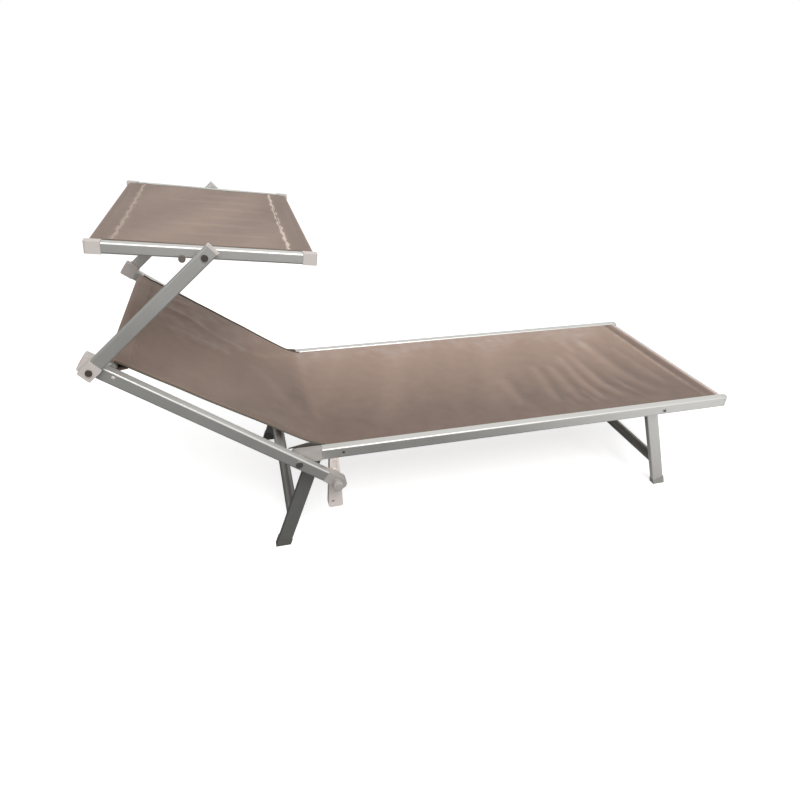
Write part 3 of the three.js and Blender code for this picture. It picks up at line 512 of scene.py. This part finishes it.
# %% Where each part of the sling begins
FREE_EDGE = 0.272                        # half the cloth that shows between the rails
KINK_EDGE, HEAD_EDGE = 0.271, 0.287      # half its width at the hinge and at the head end
TUCK = 0.0036                            # how far before the foot bar the bead leaves the channel
LEAVES_RAIL = 0.014                      # and how far before the kink
foot_row = len(foot_wrap) - 1
kink_row = foot_row + len(seat_rows) + BEND_STEPS // 2   # the middle of the bend
head_row = len(sling_path) - len(head_wrap)
foot_top_run, kink_run, head_top_run = sling_run[foot_row], sling_run[kink_row], sling_run[head_row]
x_along = sling_path[:, 0]
back_share = np.clip((kink[0] - x_along) / (kink[0] - head_bar[0]), 0, 1)
past_kink = np.arange(len(sling_path)) > kink_row - 2
half_width = np.where(past_kink, KINK_EDGE + (HEAD_EDGE - KINK_EDGE) * back_share, KINK_EDGE)
in_rail = eased((foot_bar[0] - TUCK - x_along) / TUCK) * eased((x_along - kink[0] - LEAVES_RAIL) / 0.012)
in_rail[:foot_row] = 0
print(f"Seat {kink_run - foot_top_run:.3f} m and back {head_top_run - kink_run:.3f} m along the cloth")

# %% Width, bead and sag
BEAD_MIDDLE = 0.28037                    # where the bead lies in the rail's channel
BEAD_RADIUS = 0.0026
COLUMNS = 64
SEAT_SAG, BACK_SAG = 0.0075, 0.009
KINK_LIFT, KINK_REACH = 0.006, 0.07      # the tight bend lifts the middle of the cloth a little
across_middle = np.linspace(-1, 1, COLUMNS + 1)
bead_shares = np.array((-0.95, -0.45, 0.45, 0.95))
round_bead = BEAD_RADIUS * np.sqrt(1 - bead_shares ** 2)
surface, thickness = [], []
for row, (x, z) in enumerate(sling_path):
    edge = half_width[row] if past_kink[row] else FREE_EDGE
    held = in_rail[row]
    loose = edge + np.arange(1, 5) * 0.0004
    tucked = BEAD_MIDDLE + bead_shares * BEAD_RADIUS
    beyond = loose + (tucked - loose) * held
    y = np.concatenate((-beyond[::-1], across_middle * edge, beyond))
    surface.append(np.stack((np.full(y.shape, x), y, np.full(y.shape, z)), 1))
    bead = CLOTH + (2 * np.maximum(round_bead, CLOTH / 2) - CLOTH) * eased(2 * held - 1)
    thickness.append(np.concatenate((bead[::-1], np.full(COLUMNS + 1, CLOTH), bead)))
surface, thickness = np.array(surface), np.array(thickness)
across = np.clip(surface[..., 1] / half_width[:, None], -1, 1)
hollow = 1 - across ** 2
run = sling_run[:, None] + 0 * across
seat_full = 1 - (2 * np.clip((run - foot_top_run) / (kink_run - foot_top_run), 0, 1) - 1) ** 4
back_full = 1 - (2 * np.clip((run - kink_run) / (head_top_run - 0.03 - kink_run), 0, 1) - 1) ** 4
sag = (hollow * (SEAT_SAG * seat_full + BACK_SAG * back_full)
       - KINK_LIFT * hollow * np.exp(-((run - kink_run) / KINK_REACH) ** 2))
print(f"The sling sags {1000 * sag.max():.1f} mm")

# %% [markdown]
# ## Ripples and folds
# People who sat on the seat have left ripples across it, and on the backrest tension folds spread from the corners
# at the hinge. A noise would put such creases anywhere, and a simulation would not put them where this lounger has
# them. So each crease is a line on the cloth with a height and a width, and the cloth is raised along it. Each
# ripple of the seat has a furrow behind it. Slow waves between them keep the rest from looking machined, and the
# sewn sleeve at the foot end puckers along its seam.

# %% Lines of the creases
# Each line is a list of (x, y) on the seat, in metres, and on the backrest of (distance from the kink, y).
seat_lines = [
    ([(0.613, 0.19), (0.616, -0.024), (0.628, -0.126), (0.653, -0.23)], 0.0013, 0.020),
    ([(0.520, 0.11), (0.515, -0.128), (0.548, -0.24)], 0.0017, 0.017),
    ([(0.486, 0.10), (0.462, -0.103), (0.471, -0.25)], 0.0016, 0.016),
    ([(0.415, 0.04), (0.415, -0.051), (0.405, -0.155), (0.398, -0.24)], 0.0012, 0.016),
    ([(0.362, 0.05), (0.359, -0.025), (0.334, -0.164), (0.334, -0.23)], 0.0013, 0.017),
    ([(0.234, 0.0), (0.228, -0.077), (0.218, -0.24)], 0.0010, 0.018),
    ([(0.700, 0.12), (0.704, -0.05), (0.716, -0.19)], 0.0007, 0.012),
    ([(0.575, -0.10), (0.583, -0.17), (0.604, -0.25)], 0.0013, 0.009),
    ([(0.437, -0.12), (0.438, -0.19), (0.447, -0.26)], 0.0012, 0.008),
    ([(0.372, -0.14), (0.366, -0.20), (0.368, -0.26)], 0.0010, 0.008),
    ([(0.555, 0.23), (0.549, 0.10), (0.556, 0.0)], 0.0006, 0.016),
]
back_lines = [
    ([(0.430, 0.147), (0.336, 0.146), (0.246, 0.108), (0.150, 0.121)], 0.0030, 0.013),
    ([(0.400, 0.032), (0.282, 0.040), (0.20, 0.05)], 0.0024, 0.014),
    ([(0.440, 0.206), (0.381, 0.221), (0.320, 0.240)], 0.0022, 0.012),
    ([(0.007, -0.222), (0.084, -0.062), (0.110, -0.015), (0.160, 0.055)], 0.0015, 0.024),
    ([(0.020, -0.262), (0.124, -0.240), (0.200, -0.244)], 0.0012, 0.012),
    ([(0.015, -0.245), (0.070, -0.170), (0.130, -0.130)], 0.0010, 0.014),
    ([(0.490, 0.259), (0.436, 0.330)], -0.0020, 0.010),
    ([(0.012, 0.240), (0.090, 0.150), (0.160, 0.110)], 0.0018, 0.016),
]
print(f"{len(seat_lines)} ripples and {len(back_lines)} folds")

# %% Raising the sling
RIPPLE, FOLD = 1.6, 1.5                  # times the heights above
BEHIND = 1.8                             # a furrow's distance behind its ripple, in widths of the ripple
SEAM_PUCKER, SEAM_FURROW = 0.0022, 0.0012
foot_seam_run = foot_top_run + FOOT_SLEEVE
on_seat, y_across = run <= kink_run, surface[..., 1]
from_kink = np.where(on_seat, -1.0, run - kink_run)
raised = np.zeros(run.shape)
for line, height, width in seat_lines:
    raised += RIPPLE * crease(surface[..., 0], y_across, line, height, width) * on_seat
    behind = [(x + BEHIND * width, y) for x, y in line]
    raised -= crease(surface[..., 0], y_across, behind, height, width) * on_seat
for line, height, width in back_lines:
    raised += FOLD * crease(from_kink, y_across, line, height, width, 0.04) * ~on_seat
for number, (long_wave, cross_wave) in enumerate(((0.31, 0.9), (0.17, 0.52), (0.105, 0.33))):
    phase = 1.7 * number
    raised += 0.0005 / (number + 1) * np.sin(math.tau * (run / long_wave + y_across / cross_wave) + phase)
pucker = 1 + 0.35 * np.sin(math.tau * y_across / 0.034) + 0.25 * np.sin(math.tau * y_across / 0.0213 + 1)
raised += SEAM_PUCKER * pucker * np.exp(-((run - foot_seam_run - 0.004) / 0.0075) ** 2)
raised -= SEAM_FURROW * np.exp(-((run - foot_seam_run + 0.012) / 0.009) ** 2)
free = eased((run - foot_top_run) / 0.02) * eased((head_top_run - run) / 0.03)
edge_free = np.where(on_seat, eased((1 - np.abs(across)) / 0.06), 1.0)
height = (raised * edge_free - sag) * free

tilt = np.gradient(sling_path, axis=0)
tilt /= np.linalg.norm(tilt, axis=1, keepdims=True)
surface[..., 0] += height * tilt[:, 1][:, None]
surface[..., 2] -= height * tilt[:, 0][:, None]
print(f"Creases from {1000 * height.min():.1f} to {1000 * height.max():.1f} mm, with the sag")

# %% [markdown]
# ## Painted light and wear on the sling
# The cloth's colour carries painted light. Ridges get a painted highlight and furrows painted shade. The double
# layer of the sleeve beside the foot seam gets painted shade, and the seam's ridge a painted highlight with painted
# shade on its foot side. A painted gradient lightens the cloth towards its far side and up the backrest, where it
# offsets the canopy's shade, and darkens it towards the near rail and the hinge. A painted sheen lies over the foot
# bar, and the backrest's side hems are a little paler. A picture could be painted for this, but it follows the
# shape, so it is worked out from the same grid. The mesh keeps it as a number from 0 to 1 at each point, and the
# finish below reads that.

# %% Painted light, wear and the sling's mesh
LIT_RIDGE = 0.0042                      # a ridge this high gets the full painted highlight
SEAT_RIDGE_LIGHT, BACK_RIDGE_LIGHT = 0.42, 0.25
MOST_WEAR_AND_LIGHT = 0.80                         # of all but the painted sheen over the foot bar's rim
ridges = raised / LIT_RIDGE
far_side, up_share = np.clip(y_across / 0.24, -1, 1), (run - kink_run) / back_run
on_back = eased((run - kink_run + 0.03) / 0.07)
# painted light: lighter towards the far side and darker towards the near rail; on the backrest darker at the hinge
# and lighter upwards, against the canopy's shade
painted_gradient = ((1 - on_back) * (0.45 * far_side - 0.05)
            + on_back * (0.5 * far_side - 0.42 + np.clip(1.3 * up_share, 0, 0.66)))
# painted shade in the sleeve's double layer beside the seam, strongest on the far side
sleeve_shadow = (-0.45 * np.clip((y_across + 0.24) / 0.4, 0, 1) * eased((foot_top_run + 0.042 - run) / 0.012)
             * (run > foot_top_run))
# painted sheen where the cloth bends over the foot bar
bar_rim_sheen = np.exp(-((run - foot_top_run) / 0.012) ** 4)
# painted highlight on the foot seam's ridge and painted shade on its foot side, shown from the far side to the
# middle
seam_shows = np.clip((y_across + 0.24) / 0.15, 0, 1)
seam_highlight_and_shade = seam_shows * (0.45 * np.exp(-((run - foot_seam_run - 0.005) / 0.005) ** 2)
                           - 0.30 * np.exp(-((run - foot_seam_run + 0.009) / 0.007) ** 2))
side_hems = 0.2 * np.exp(-((np.abs(across) - 0.962) / 0.014) ** 4) * ~on_seat
# painted highlight on the ridges and painted shade in the furrows
ridge_light_and_shade = np.where(run < kink_run, SEAT_RIDGE_LIGHT, BACK_RIDGE_LIGHT) * np.clip(ridges, -0.9, 1.1)
sling_wear_and_light = (np.minimum(0.40 + ridge_light_and_shade + seam_highlight_and_shade + painted_gradient + sleeve_shadow + side_hems, MOST_WEAR_AND_LIGHT)
              + 1.1 * bar_rim_sheen)
sling_grids = (surface, thickness, np.stack((y_across, run), -1), sling_wear_and_light)
sling_cloth = cloth_piece("sling_cloth", *(grid[:, ::-1] for grid in sling_grids))

# %% [markdown]
# ## The woven finish
# The cloth is woven from coated yarns about a millimetre wide, in a taupe that carries the painted light worked out
# from the grid: browner as painted shade where it dips, and paler as a painted highlight on its ridges. Two wave
# patterns along the UV map make warp and weft, and so follow the cloth over its bends, which a pattern in space
# would not. Seen flat the cloth is dull, and at a low angle its yarns catch the light, which a sheen gives.

# %% Woven cloth
# the palest stop of the cloth's colour, reached mostly by the painted sheen over the foot bar
PALEST_CLOTH = linear(214, 206, 201)
SHEEN = {"Sheen Weight": 0.35, "Sheen Roughness": 0.45, "Sheen Tint": linear(232, 222, 214)}
YARNS = {"Scale": 150.0, "Distortion": 0.4, "Detail": 1.0}
WEAVE_SHOWS, MOTTLE_SHOWS, WEAR_AND_LIGHT_SHOWS = 0.16, 0.22, 0.85


def woven(name, colour, roughness=0.72):
    """Coated yarns along the UV map, darker and paler by the wear and painted light of each point."""
    material, tree, shader = principled(name, colour, roughness)
    for socket, value in SHEEN.items():
        shader.inputs[socket].default_value = value
    place = add(tree, "ShaderNodeUVMap", uv_map="weave").outputs[0]
    yarns = []
    for direction in ("X", "Y"):
        wave = add(tree, "ShaderNodeTexWave", bands_direction=direction)
        for socket, value in YARNS.items():
            wave.inputs[socket].default_value = value
        tree.links.new(place, wave.inputs["Vector"])
        yarns.append(wave.outputs["Fac"])
    weave = math_node(tree, "MULTIPLY", *yarns)
    mottle = noise(tree, place, 26.0, 4.0)
    wear_and_light_level = add(tree, "ShaderNodeAttribute", attribute_name="wear_and_light").outputs["Fac"]
    parts = [math_node(tree, "MULTIPLY", part, share)
             for part, share in ((weave, WEAVE_SHOWS), (mottle, MOTTLE_SHOWS), (wear_and_light_level, WEAR_AND_LIGHT_SHOWS))]
    mixed = math_node(tree, "ADD", math_node(tree, "ADD", *parts[:2]), parts[2])
    tint(tree, mixed, shader, colour, 0.52, PALEST_CLOTH)
    relief(tree, weave, shader, 0.35, 0.0005)
    return material


taupe = woven("cloth_taupe", linear(143, 121, 108))
sling_cloth.data.materials.append(taupe)
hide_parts("seat_sling", "back_sling")
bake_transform(sling_cloth)

# %% [markdown]
# ## The canopy cloth
# The sun shade is a smaller cloth of the same weave, with a sleeve at each end round a bar, and free side edges
# just inside the rails. It sags a little. Fine pulls run along it, because the two bars stretch it one way only.
# It is made in the same way as the sling, from a path, a width, a sag and creases.

# %% The canopy cloth seen from the side
canopy_foot, canopy_head = side("canopy_foot_bar"), side("canopy_head_bar")
canopy_wrap = over_bar("canopy_foot_bar")
footwards = (canopy_foot - canopy_head) / np.linalg.norm(canopy_foot - canopy_head)
above = np.array((-footwards[1], footwards[0]))
CANOPY_FOOT_SLEEVE, CANOPY_HEAD_SLEEVE = 0.0415, 0.0325
over_foot, over_head = canopy_foot + above * canopy_wrap, canopy_head + above * canopy_wrap
foot_hem = over_foot - footwards * CANOPY_FOOT_SLEEVE
head_hem = over_head + footwards * CANOPY_HEAD_SLEEVE
foot_turn = wrap(canopy_foot, canopy_wrap, foot_hem - above * UNDER, head_hem, 1)
head_turn = wrap(canopy_head, canopy_wrap, head_hem - above * UNDER, foot_hem, -1)
open_rows = np.linspace(foot_turn[-1], head_turn[-1], 80)[1:-1]
canopy_path = np.concatenate((foot_turn, open_rows, head_turn[::-1]))
canopy_run = travelled(canopy_path)
foot_top, head_top = canopy_run[len(foot_turn) - 1], canopy_run[len(canopy_path) - len(head_turn)]
canopy_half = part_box("canopy_cloth")[1].y
print(f"Canopy cloth {2 * canopy_half:.3f} by {canopy_run[-1]:.3f} m")

# %% Sag, pulls and hems of the canopy cloth
CANOPY_COLUMNS = 60
CANOPY_SAG = 0.006
# A pull goes from one distance from the foot bar to another, at a place across, with a height.
pulls = [(0.05, 0.28, -0.20, 0.0007), (0.07, 0.30, -0.11, 0.0008), (0.05, 0.22, -0.03, 0.0006),
         (0.06, 0.26, 0.06, 0.0008), (0.05, 0.33, 0.14, 0.0006), (0.08, 0.25, 0.21, 0.0006)]
side_shares = np.linspace(-1, 1, CANOPY_COLUMNS + 1)
run = canopy_run[:, None] + 0 * side_shares
y_across = side_shares * canopy_half + 0 * run
from_foot, from_head = run - foot_top, head_top - run
along_share = 2 * np.clip(from_foot / (head_top - foot_top), 0, 1) - 1
full = 1 - along_share ** 4
slack = CANOPY_SAG * full * (1 - side_shares ** 2)
raised = -slack
for begins, ends, y, height in pulls:
    line = [(begins, y), ((begins + ends) / 2, y + 0.006), (ends, y)]
    raised += crease(from_foot, y_across, line, height, 0.009, 0.06)
raised += 0.0004 * np.sin(math.tau * (run / 0.21 + y_across / 0.47)) * full
CANOPY_HEMS = {"foot": foot_top + CANOPY_FOOT_SLEEVE, "head": head_top - CANOPY_HEAD_SLEEVE}
for hem_run in CANOPY_HEMS.values():
    wavy = 0.0016 * np.sin(math.tau * y_across / 0.075) + 0.0010 * np.sin(math.tau * y_across / 0.031 + 2)
    raised += 0.0010 * np.exp(-((run - hem_run - wavy) / 0.006) ** 2)
raised = raised * (eased(from_foot / 0.02) * eased(from_head / 0.02))
canopy_grid = np.stack((canopy_path[:, :1] + 0 * run, y_across, canopy_path[:, 1:] + 0 * run), -1)
canopy_grid[..., 0] += raised * above[0]
canopy_grid[..., 2] += raised * above[1]
print(f"{len(pulls)} pulls, and a sag of {1000 * slack.max():.0f} mm")

# %% Painted light, wear and the canopy cloth's mesh
# painted sheen where the cloth bends over each bar, with a painted shade line just inside it
bar_rims_light_and_shade = sum(0.5 * np.exp(-((past + 0.007) / 0.004) ** 2) - 0.4 * np.exp(-((past - 0.002) / 0.005) ** 2)
                  for past in (from_foot, from_head))
in_sleeves = (from_foot < CANOPY_FOOT_SLEEVE) | (from_head < CANOPY_HEAD_SLEEVE)
# painted highlight on the pulls and hem ridges, and painted shade where the cloth dips
ridge_light_and_shade = 0.28 * np.clip((raised + slack) / 0.0012, -1, 1)
# darker towards both bars, and a little darker in the sleeves
canopy_wear_and_light = 0.25 - 0.22 * along_share ** 2 - 0.06 * in_sleeves + ridge_light_and_shade + bar_rims_light_and_shade
canopy_grids = (canopy_grid, np.full(run.shape, CLOTH), np.stack((y_across, run), -1), canopy_wear_and_light)
canopy_piece = cloth_piece("canopy_shade", *(grid[:, ::-1] for grid in canopy_grids))
canopy_piece.data.materials.append(taupe)
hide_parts("canopy_cloth")
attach(canopy_piece, "canopy")

# %% [markdown]
# ## Seams
# Each sleeve is closed by a seam across the cloth, with two rows of stitches. On the canopy a narrow pale band shows
# between them where the two layers are joined, a little wavy as such seams are. The band is one more small cloth
# laid over the seam, because a stripe in the finish would have no edge of its own. The stitches repeat along a
# line, so Geometry Nodes place them.

# %% Seam bands
def on_cloth(grid, runs, distance, y, proud):
    """A point above the cloth, at a distance along its path and a place across it."""
    row = min(int(np.searchsorted(runs, distance)), len(runs) - 1)
    share = (distance - runs[row - 1]) / (runs[row] - runs[row - 1])
    line = grid[row - 1] + (grid[row] - grid[row - 1]) * share
    onward = grid[row][len(line) // 2] - grid[row - 1][len(line) // 2]
    up = np.array((onward[2], 0, -onward[0])) / math.hypot(onward[0], onward[2])
    order = np.argsort(line[:, 1])
    place = [np.interp(y, line[order, 1], line[order, axis]) for axis in (0, 1, 2)]
    return np.array(place) + up * proud


BAND_STEPS = 170
BAND_HALF, BAND_THICKNESS, BAND_PROUD, BAND_INSET = 0.0032, 0.0006, 0.0002, 0.003
BAND_WEAR = 0.5
# the band at the head end is darker than the one at the foot end
band_finish = {"foot": woven("cloth_seam", linear(190, 174, 162), MATT),
               "head": woven("cloth_seam_dark", linear(150, 133, 121), MATT)}
for end, distance in CANOPY_HEMS.items():
    rows = []
    for y in np.linspace(BAND_INSET - canopy_half, canopy_half - BAND_INSET, BAND_STEPS):
        wander = 0.0011 * math.sin(math.tau * y / 0.075) + 0.0006 * math.sin(math.tau * y / 0.027 + 2)
        wide = BAND_HALF * (1 + 0.35 * math.sin(math.tau * y / 0.051 + 1) + 0.25 * math.sin(math.tau * y / 0.0135))
        rows.append([on_cloth(canopy_grid, canopy_run, distance + wander + share * wide, y,
                              CLOTH / 2 + BAND_PROUD) for share in (-1, -0.4, 0.4, 1)])
    rows = np.array(rows)
    alike = np.full(rows.shape[:2], 1.0)
    band = cloth_piece(f"canopy_{end}_seam", rows, BAND_THICKNESS * alike, rows[..., :2], BAND_WEAR * alike)
    band.data.materials.append(band_finish[end])
    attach(band, "canopy")

# %% Trees that repeat a small rounded body
def node_group(name, sizes):
    """An empty Geometry Nodes tree with a named number for each size, and a material."""
    tree = bpy.data.node_groups.new(name, "GeometryNodeTree")
    tree.interface.new_socket("Geometry", in_out="INPUT", socket_type="NodeSocketGeometry")
    for size in sizes:
        tree.interface.new_socket(size, in_out="INPUT", socket_type="NodeSocketFloat")
    tree.interface.new_socket("Finish", in_out="INPUT", socket_type="NodeSocketMaterial")
    tree.interface.new_socket("Geometry", in_out="OUTPUT", socket_type="NodeSocketGeometry")
    return tree, add(tree, "NodeGroupInput").outputs, add(tree, "NodeGroupOutput").inputs


def instance_beads(tree, sizes, points, facing, axis, scale, end):
    """A small rounded body at each point, turned with its axis to a direction, as real faces with the finish."""
    ball = add(tree, "GeometryNodeMeshIcoSphere")
    ball.inputs["Radius"].default_value = 0.5
    ball.inputs["Subdivisions"].default_value = 2
    turned = add(tree, "FunctionNodeAlignRotationToVector", axis=axis)
    placed, real = add(tree, "GeometryNodeInstanceOnPoints"), add(tree, "GeometryNodeRealizeInstances")
    smooth, finish = add(tree, "GeometryNodeSetShadeSmooth"), add(tree, "GeometryNodeSetMaterial")
    box = add(tree, "ShaderNodeCombineXYZ")
    for socket, size in zip(box.inputs, scale):
        tree.links.new(sizes[size], socket)
    for source, target in ((points, placed.inputs["Points"]), (ball.outputs["Mesh"], placed.inputs["Instance"]),
                           (facing, turned.inputs["Vector"]), (turned.outputs[0], placed.inputs["Rotation"]),
                           (box.outputs[0], placed.inputs["Scale"]), (placed.outputs[0], real.inputs[0]),
                           (real.outputs[0], smooth.inputs[0]), (smooth.outputs[0], finish.inputs["Geometry"]),
                           (sizes["Finish"], finish.inputs["Material"]), (finish.outputs[0], end[0])):
        tree.links.new(source, target)


def realised(name, mesh, tree, values, body):
    """The plain mesh that a tree makes from a mesh, riding on a body."""
    source = bpy.data.objects.new(name + "_source", mesh)
    scene.collection.objects.link(source)
    modifier = source.modifiers.new("repeat", "NODES")
    modifier.node_group = tree
    for item in tree.interface.items_tree:
        if item.in_out == "INPUT" and item.name in values:
            modifier[item.identifier] = values[item.name]
    evaluated = source.evaluated_get(bpy.context.evaluated_depsgraph_get())
    made = bpy.data.meshes.new_from_object(evaluated)
    source.modifiers.clear()
    bpy.data.objects.remove(source)
    made.name = name
    piece = bpy.data.objects.new(name, made)
    scene.collection.objects.link(piece)
    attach(piece, body)
    return piece

# %% Stitches
stitching, sizes, end = node_group("stitches", ["Spacing", "Length", "Thread"])
curve, even = add(stitching, "GeometryNodeMeshToCurve"), add(stitching, "GeometryNodeResampleCurve", mode="LENGTH")
tangent = add(stitching, "GeometryNodeInputTangent")
for source, target in ((sizes["Geometry"], curve.inputs[0]), (curve.outputs[0], even.inputs["Curve"]),
                       (sizes["Spacing"], even.inputs["Length"])):
    stitching.links.new(source, target)
instance_beads(stitching, sizes, even.outputs[0], tangent.outputs[0], "X", ("Length", "Thread", "Thread"), end)


def stitch_lines(lines):
    """Lines of points as one mesh of edges."""
    mesh = bpy.data.meshes.new("stitch_lines")
    places, edges = [], []
    for line in lines:
        first = len(places)
        places.extend(map(tuple, line))
        edges.extend((first + k, first + k + 1) for k in range(len(line) - 1))
    mesh.from_pydata(places, edges, [])
    return mesh


STITCH_PROUD = 0.0003                    # a stitch's middle above the cloth


def seam_rows(grid, runs, distances, half):
    """Lines across a cloth at distances along its path, just above it."""
    return [[on_cloth(grid, runs, distance, y, CLOTH / 2 + STITCH_PROUD) for y in np.linspace(-half, half, 120)]
            for distance in distances]


thread = moulded("thread", linear(176, 160, 148), 0.7)
STITCH = {"Spacing": 0.0042, "Length": 0.0034, "Thread": 0.0009, "Finish": thread}
beside_hems = [hem_run + beside for hem_run in CANOPY_HEMS.values() for beside in (-0.006, 0.006)]
beside_foot_seam = [foot_seam_run - 0.003, foot_seam_run + 0.005]
head_seam_run = head_top_run - HEAD_SLEEVE
stitched = (
    ("canopy", "canopy", seam_rows(canopy_grid, canopy_run, beside_hems, canopy_half - 0.004)),
    ("seat", "seat_frame", seam_rows(surface, sling_run, beside_foot_seam, FREE_EDGE - 0.004)),
    ("back", "backrest", seam_rows(surface, sling_run, [head_seam_run, head_seam_run - 0.007], HEAD_EDGE - 0.008)),
)
for part, body, rows in stitched:
    piece = realised(f"{part}_stitches", stitch_lines(rows), stitching, STITCH, body)
    print(f"{piece.name}: {len(piece.data.polygons)} faces")

# %% [markdown]
# ## The bead
# A dark plastic bead is welded into each edge of the sling. Along the seat it sits inside the rails' channels. On
# the backrest it shows as a dark line on both edges. Where the cloth leaves the rail, a dark strip lies over the
# hinge block along the cloth's edge and tapers off at both ends. The canopy's side edges have a thinner bead. A
# curve with a bevel would be round all along, so each is a tube of rings swept along a line of points, as tall and
# wide at each point as it needs to be.

# %% A swept tube
BEAD_SIDES = 10


def swept(name, line, tall, wide, material):
    """A closed tube along a line that stays upright, with its height and width at each point."""
    line = np.asarray(line, float)
    onward = np.gradient(line, axis=0)
    onward /= np.linalg.norm(onward, axis=1, keepdims=True)
    aside = np.cross((0, 0, 1.0), onward)
    aside /= np.linalg.norm(aside, axis=1, keepdims=True)
    upward = np.cross(onward, aside)
    turns = np.linspace(0, math.tau, BEAD_SIDES, endpoint=False)
    tall, wide = (np.broadcast_to(size, len(line))[:, None, None] for size in (tall, wide))
    rings = (line[:, None] + np.cos(turns)[:, None] * aside[:, None] * wide
             + np.sin(turns)[:, None] * upward[:, None] * tall)
    shape = bmesh.new()
    rings = [[shape.verts.new(point) for point in ring] for ring in rings]
    for ring, following in zip(rings, rings[1:]):
        for k in range(BEAD_SIDES):
            shape.faces.new((ring[k - 1], ring[k], following[k], following[k - 1]))
    shape.faces.new(reversed(rings[0]))
    shape.faces.new(rings[-1])
    bmesh.ops.recalc_face_normals(shape, faces=shape.faces)
    mesh = bpy.data.meshes.new(name)
    shape.to_mesh(mesh)
    shape.free()
    mesh.shade_smooth()
    mesh.materials.append(material)
    piece = bpy.data.objects.new(name, mesh)
    scene.collection.objects.link(piece)
    return piece

# %% Beads, and the dark strips at the hinge
EDGE_BEAD, CANOPY_BEAD = 0.0023, 0.0014  # radius
BEAD_PROUD = 0.0014                      # how far the bead's middle stands above the cloth's
TAIL_POINTS = 16
TAIL_TALL, TAIL_WIDE, TAIL_Y = 0.0065, 0.0013, 0.2790
bead_plastic = moulded("plastic_bead", linear(96, 86, 74), MATT)
bead_rows = slice(kink_row - 6, head_row + 1)
above_cloth = BEAD_PROUD * np.array((lift[0], 0, lift[1]))
tail_x, tail_z, tail_size = (np.interp(np.linspace(0, 1, TAIL_POINTS), (0, 0.3, 1), values) for values in
                             ((-0.358, -0.388, -0.438), (0.3147, 0.3192, 0.3145), (0.3, 1, 0.22)))
for side_name, sign, column in (("near", -1, 2), ("far", 1, -3)):
    bead = swept(f"sling_bead_{side_name}", surface[bead_rows, column] + above_cloth, EDGE_BEAD, EDGE_BEAD,
                 bead_plastic)
    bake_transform(bead)
    tail_line = np.stack((tail_x, np.full(TAIL_POINTS, sign * TAIL_Y), tail_z), 1)
    tail = swept(f"hinge_dark_strip_{side_name}", tail_line, TAIL_TALL * tail_size, TAIL_WIDE, dark_plastic)
    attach(tail, "seat_frame")
    edge_line = canopy_grid[len(foot_turn) + 1:-len(head_turn) - 1, 0 if sign < 0 else -1]
    hem = swept(f"canopy_bead_{side_name}", edge_line, CANOPY_BEAD, CANOPY_BEAD, bead_plastic)
    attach(hem, "canopy")
print(f"Beads from {len(surface[bead_rows])} points, and two tails")

# %% [markdown]
# ## Rivets
# Blind rivets hold the leg stops and the backrest's end caps. They have low domed heads. One mesh holds a point for
# each rivet of a body with the direction that it faces, and a tree puts a head on every point, so that one more
# rivet is one more point.

# %% Rivets
riveting, sizes, end = node_group("rivets", ["Width", "Height"])
points = add(riveting, "GeometryNodeMeshToPoints")
facing = add(riveting, "GeometryNodeInputNamedAttribute", data_type="FLOAT_VECTOR")
facing.inputs["Name"].default_value = "facing"
riveting.links.new(sizes["Geometry"], points.inputs["Mesh"])
instance_beads(riveting, sizes, points.outputs[0], facing.outputs[0], "Z", ("Width", "Width", "Height"), end)


def rivets(name, places, values, body):
    """Rivets at places with the direction that each faces."""
    mesh = bpy.data.meshes.new(name)
    mesh.from_pydata([place for place, _ in places], [], [])
    attribute = mesh.attributes.new("facing", "FLOAT_VECTOR", "POINT")
    attribute.data.foreach_set("vector", [c for _, direction in places for c in direction])
    return realised(name, mesh, riveting, values, body)


def both_sides(spots, face):
    """The same spots on the near and the far side's outer face."""
    return [((x, sign * face, z), (0, sign, 0)) for x, z in spots for sign in (-1, 1)]


SUNK = 0.0018                            # a stop rivet's middle inside the rail's face, so that its head is low
STOP_RIVET = {"Width": 0.0112, "Height": 0.0064, "Finish": dark_plastic}
CAP_RIVET = {"Width": 0.0085, "Height": 0.0036, "Finish": white_plastic}
seat_face, back_face = -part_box("seat_rail_near")[0].y - SUNK, -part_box("back_rail_near")[0].y
stops = rivets("stop_rivets", both_sides([(0.6195, 0.2945)], seat_face), STOP_RIVET, "seat_frame")
caps = rivets("back_rivets", both_sides([(-0.7734, 0.5700)], back_face), CAP_RIVET, "backrest")
print(f"Rivets: {len(stops.data.polygons) + len(caps.data.polygons)} faces")
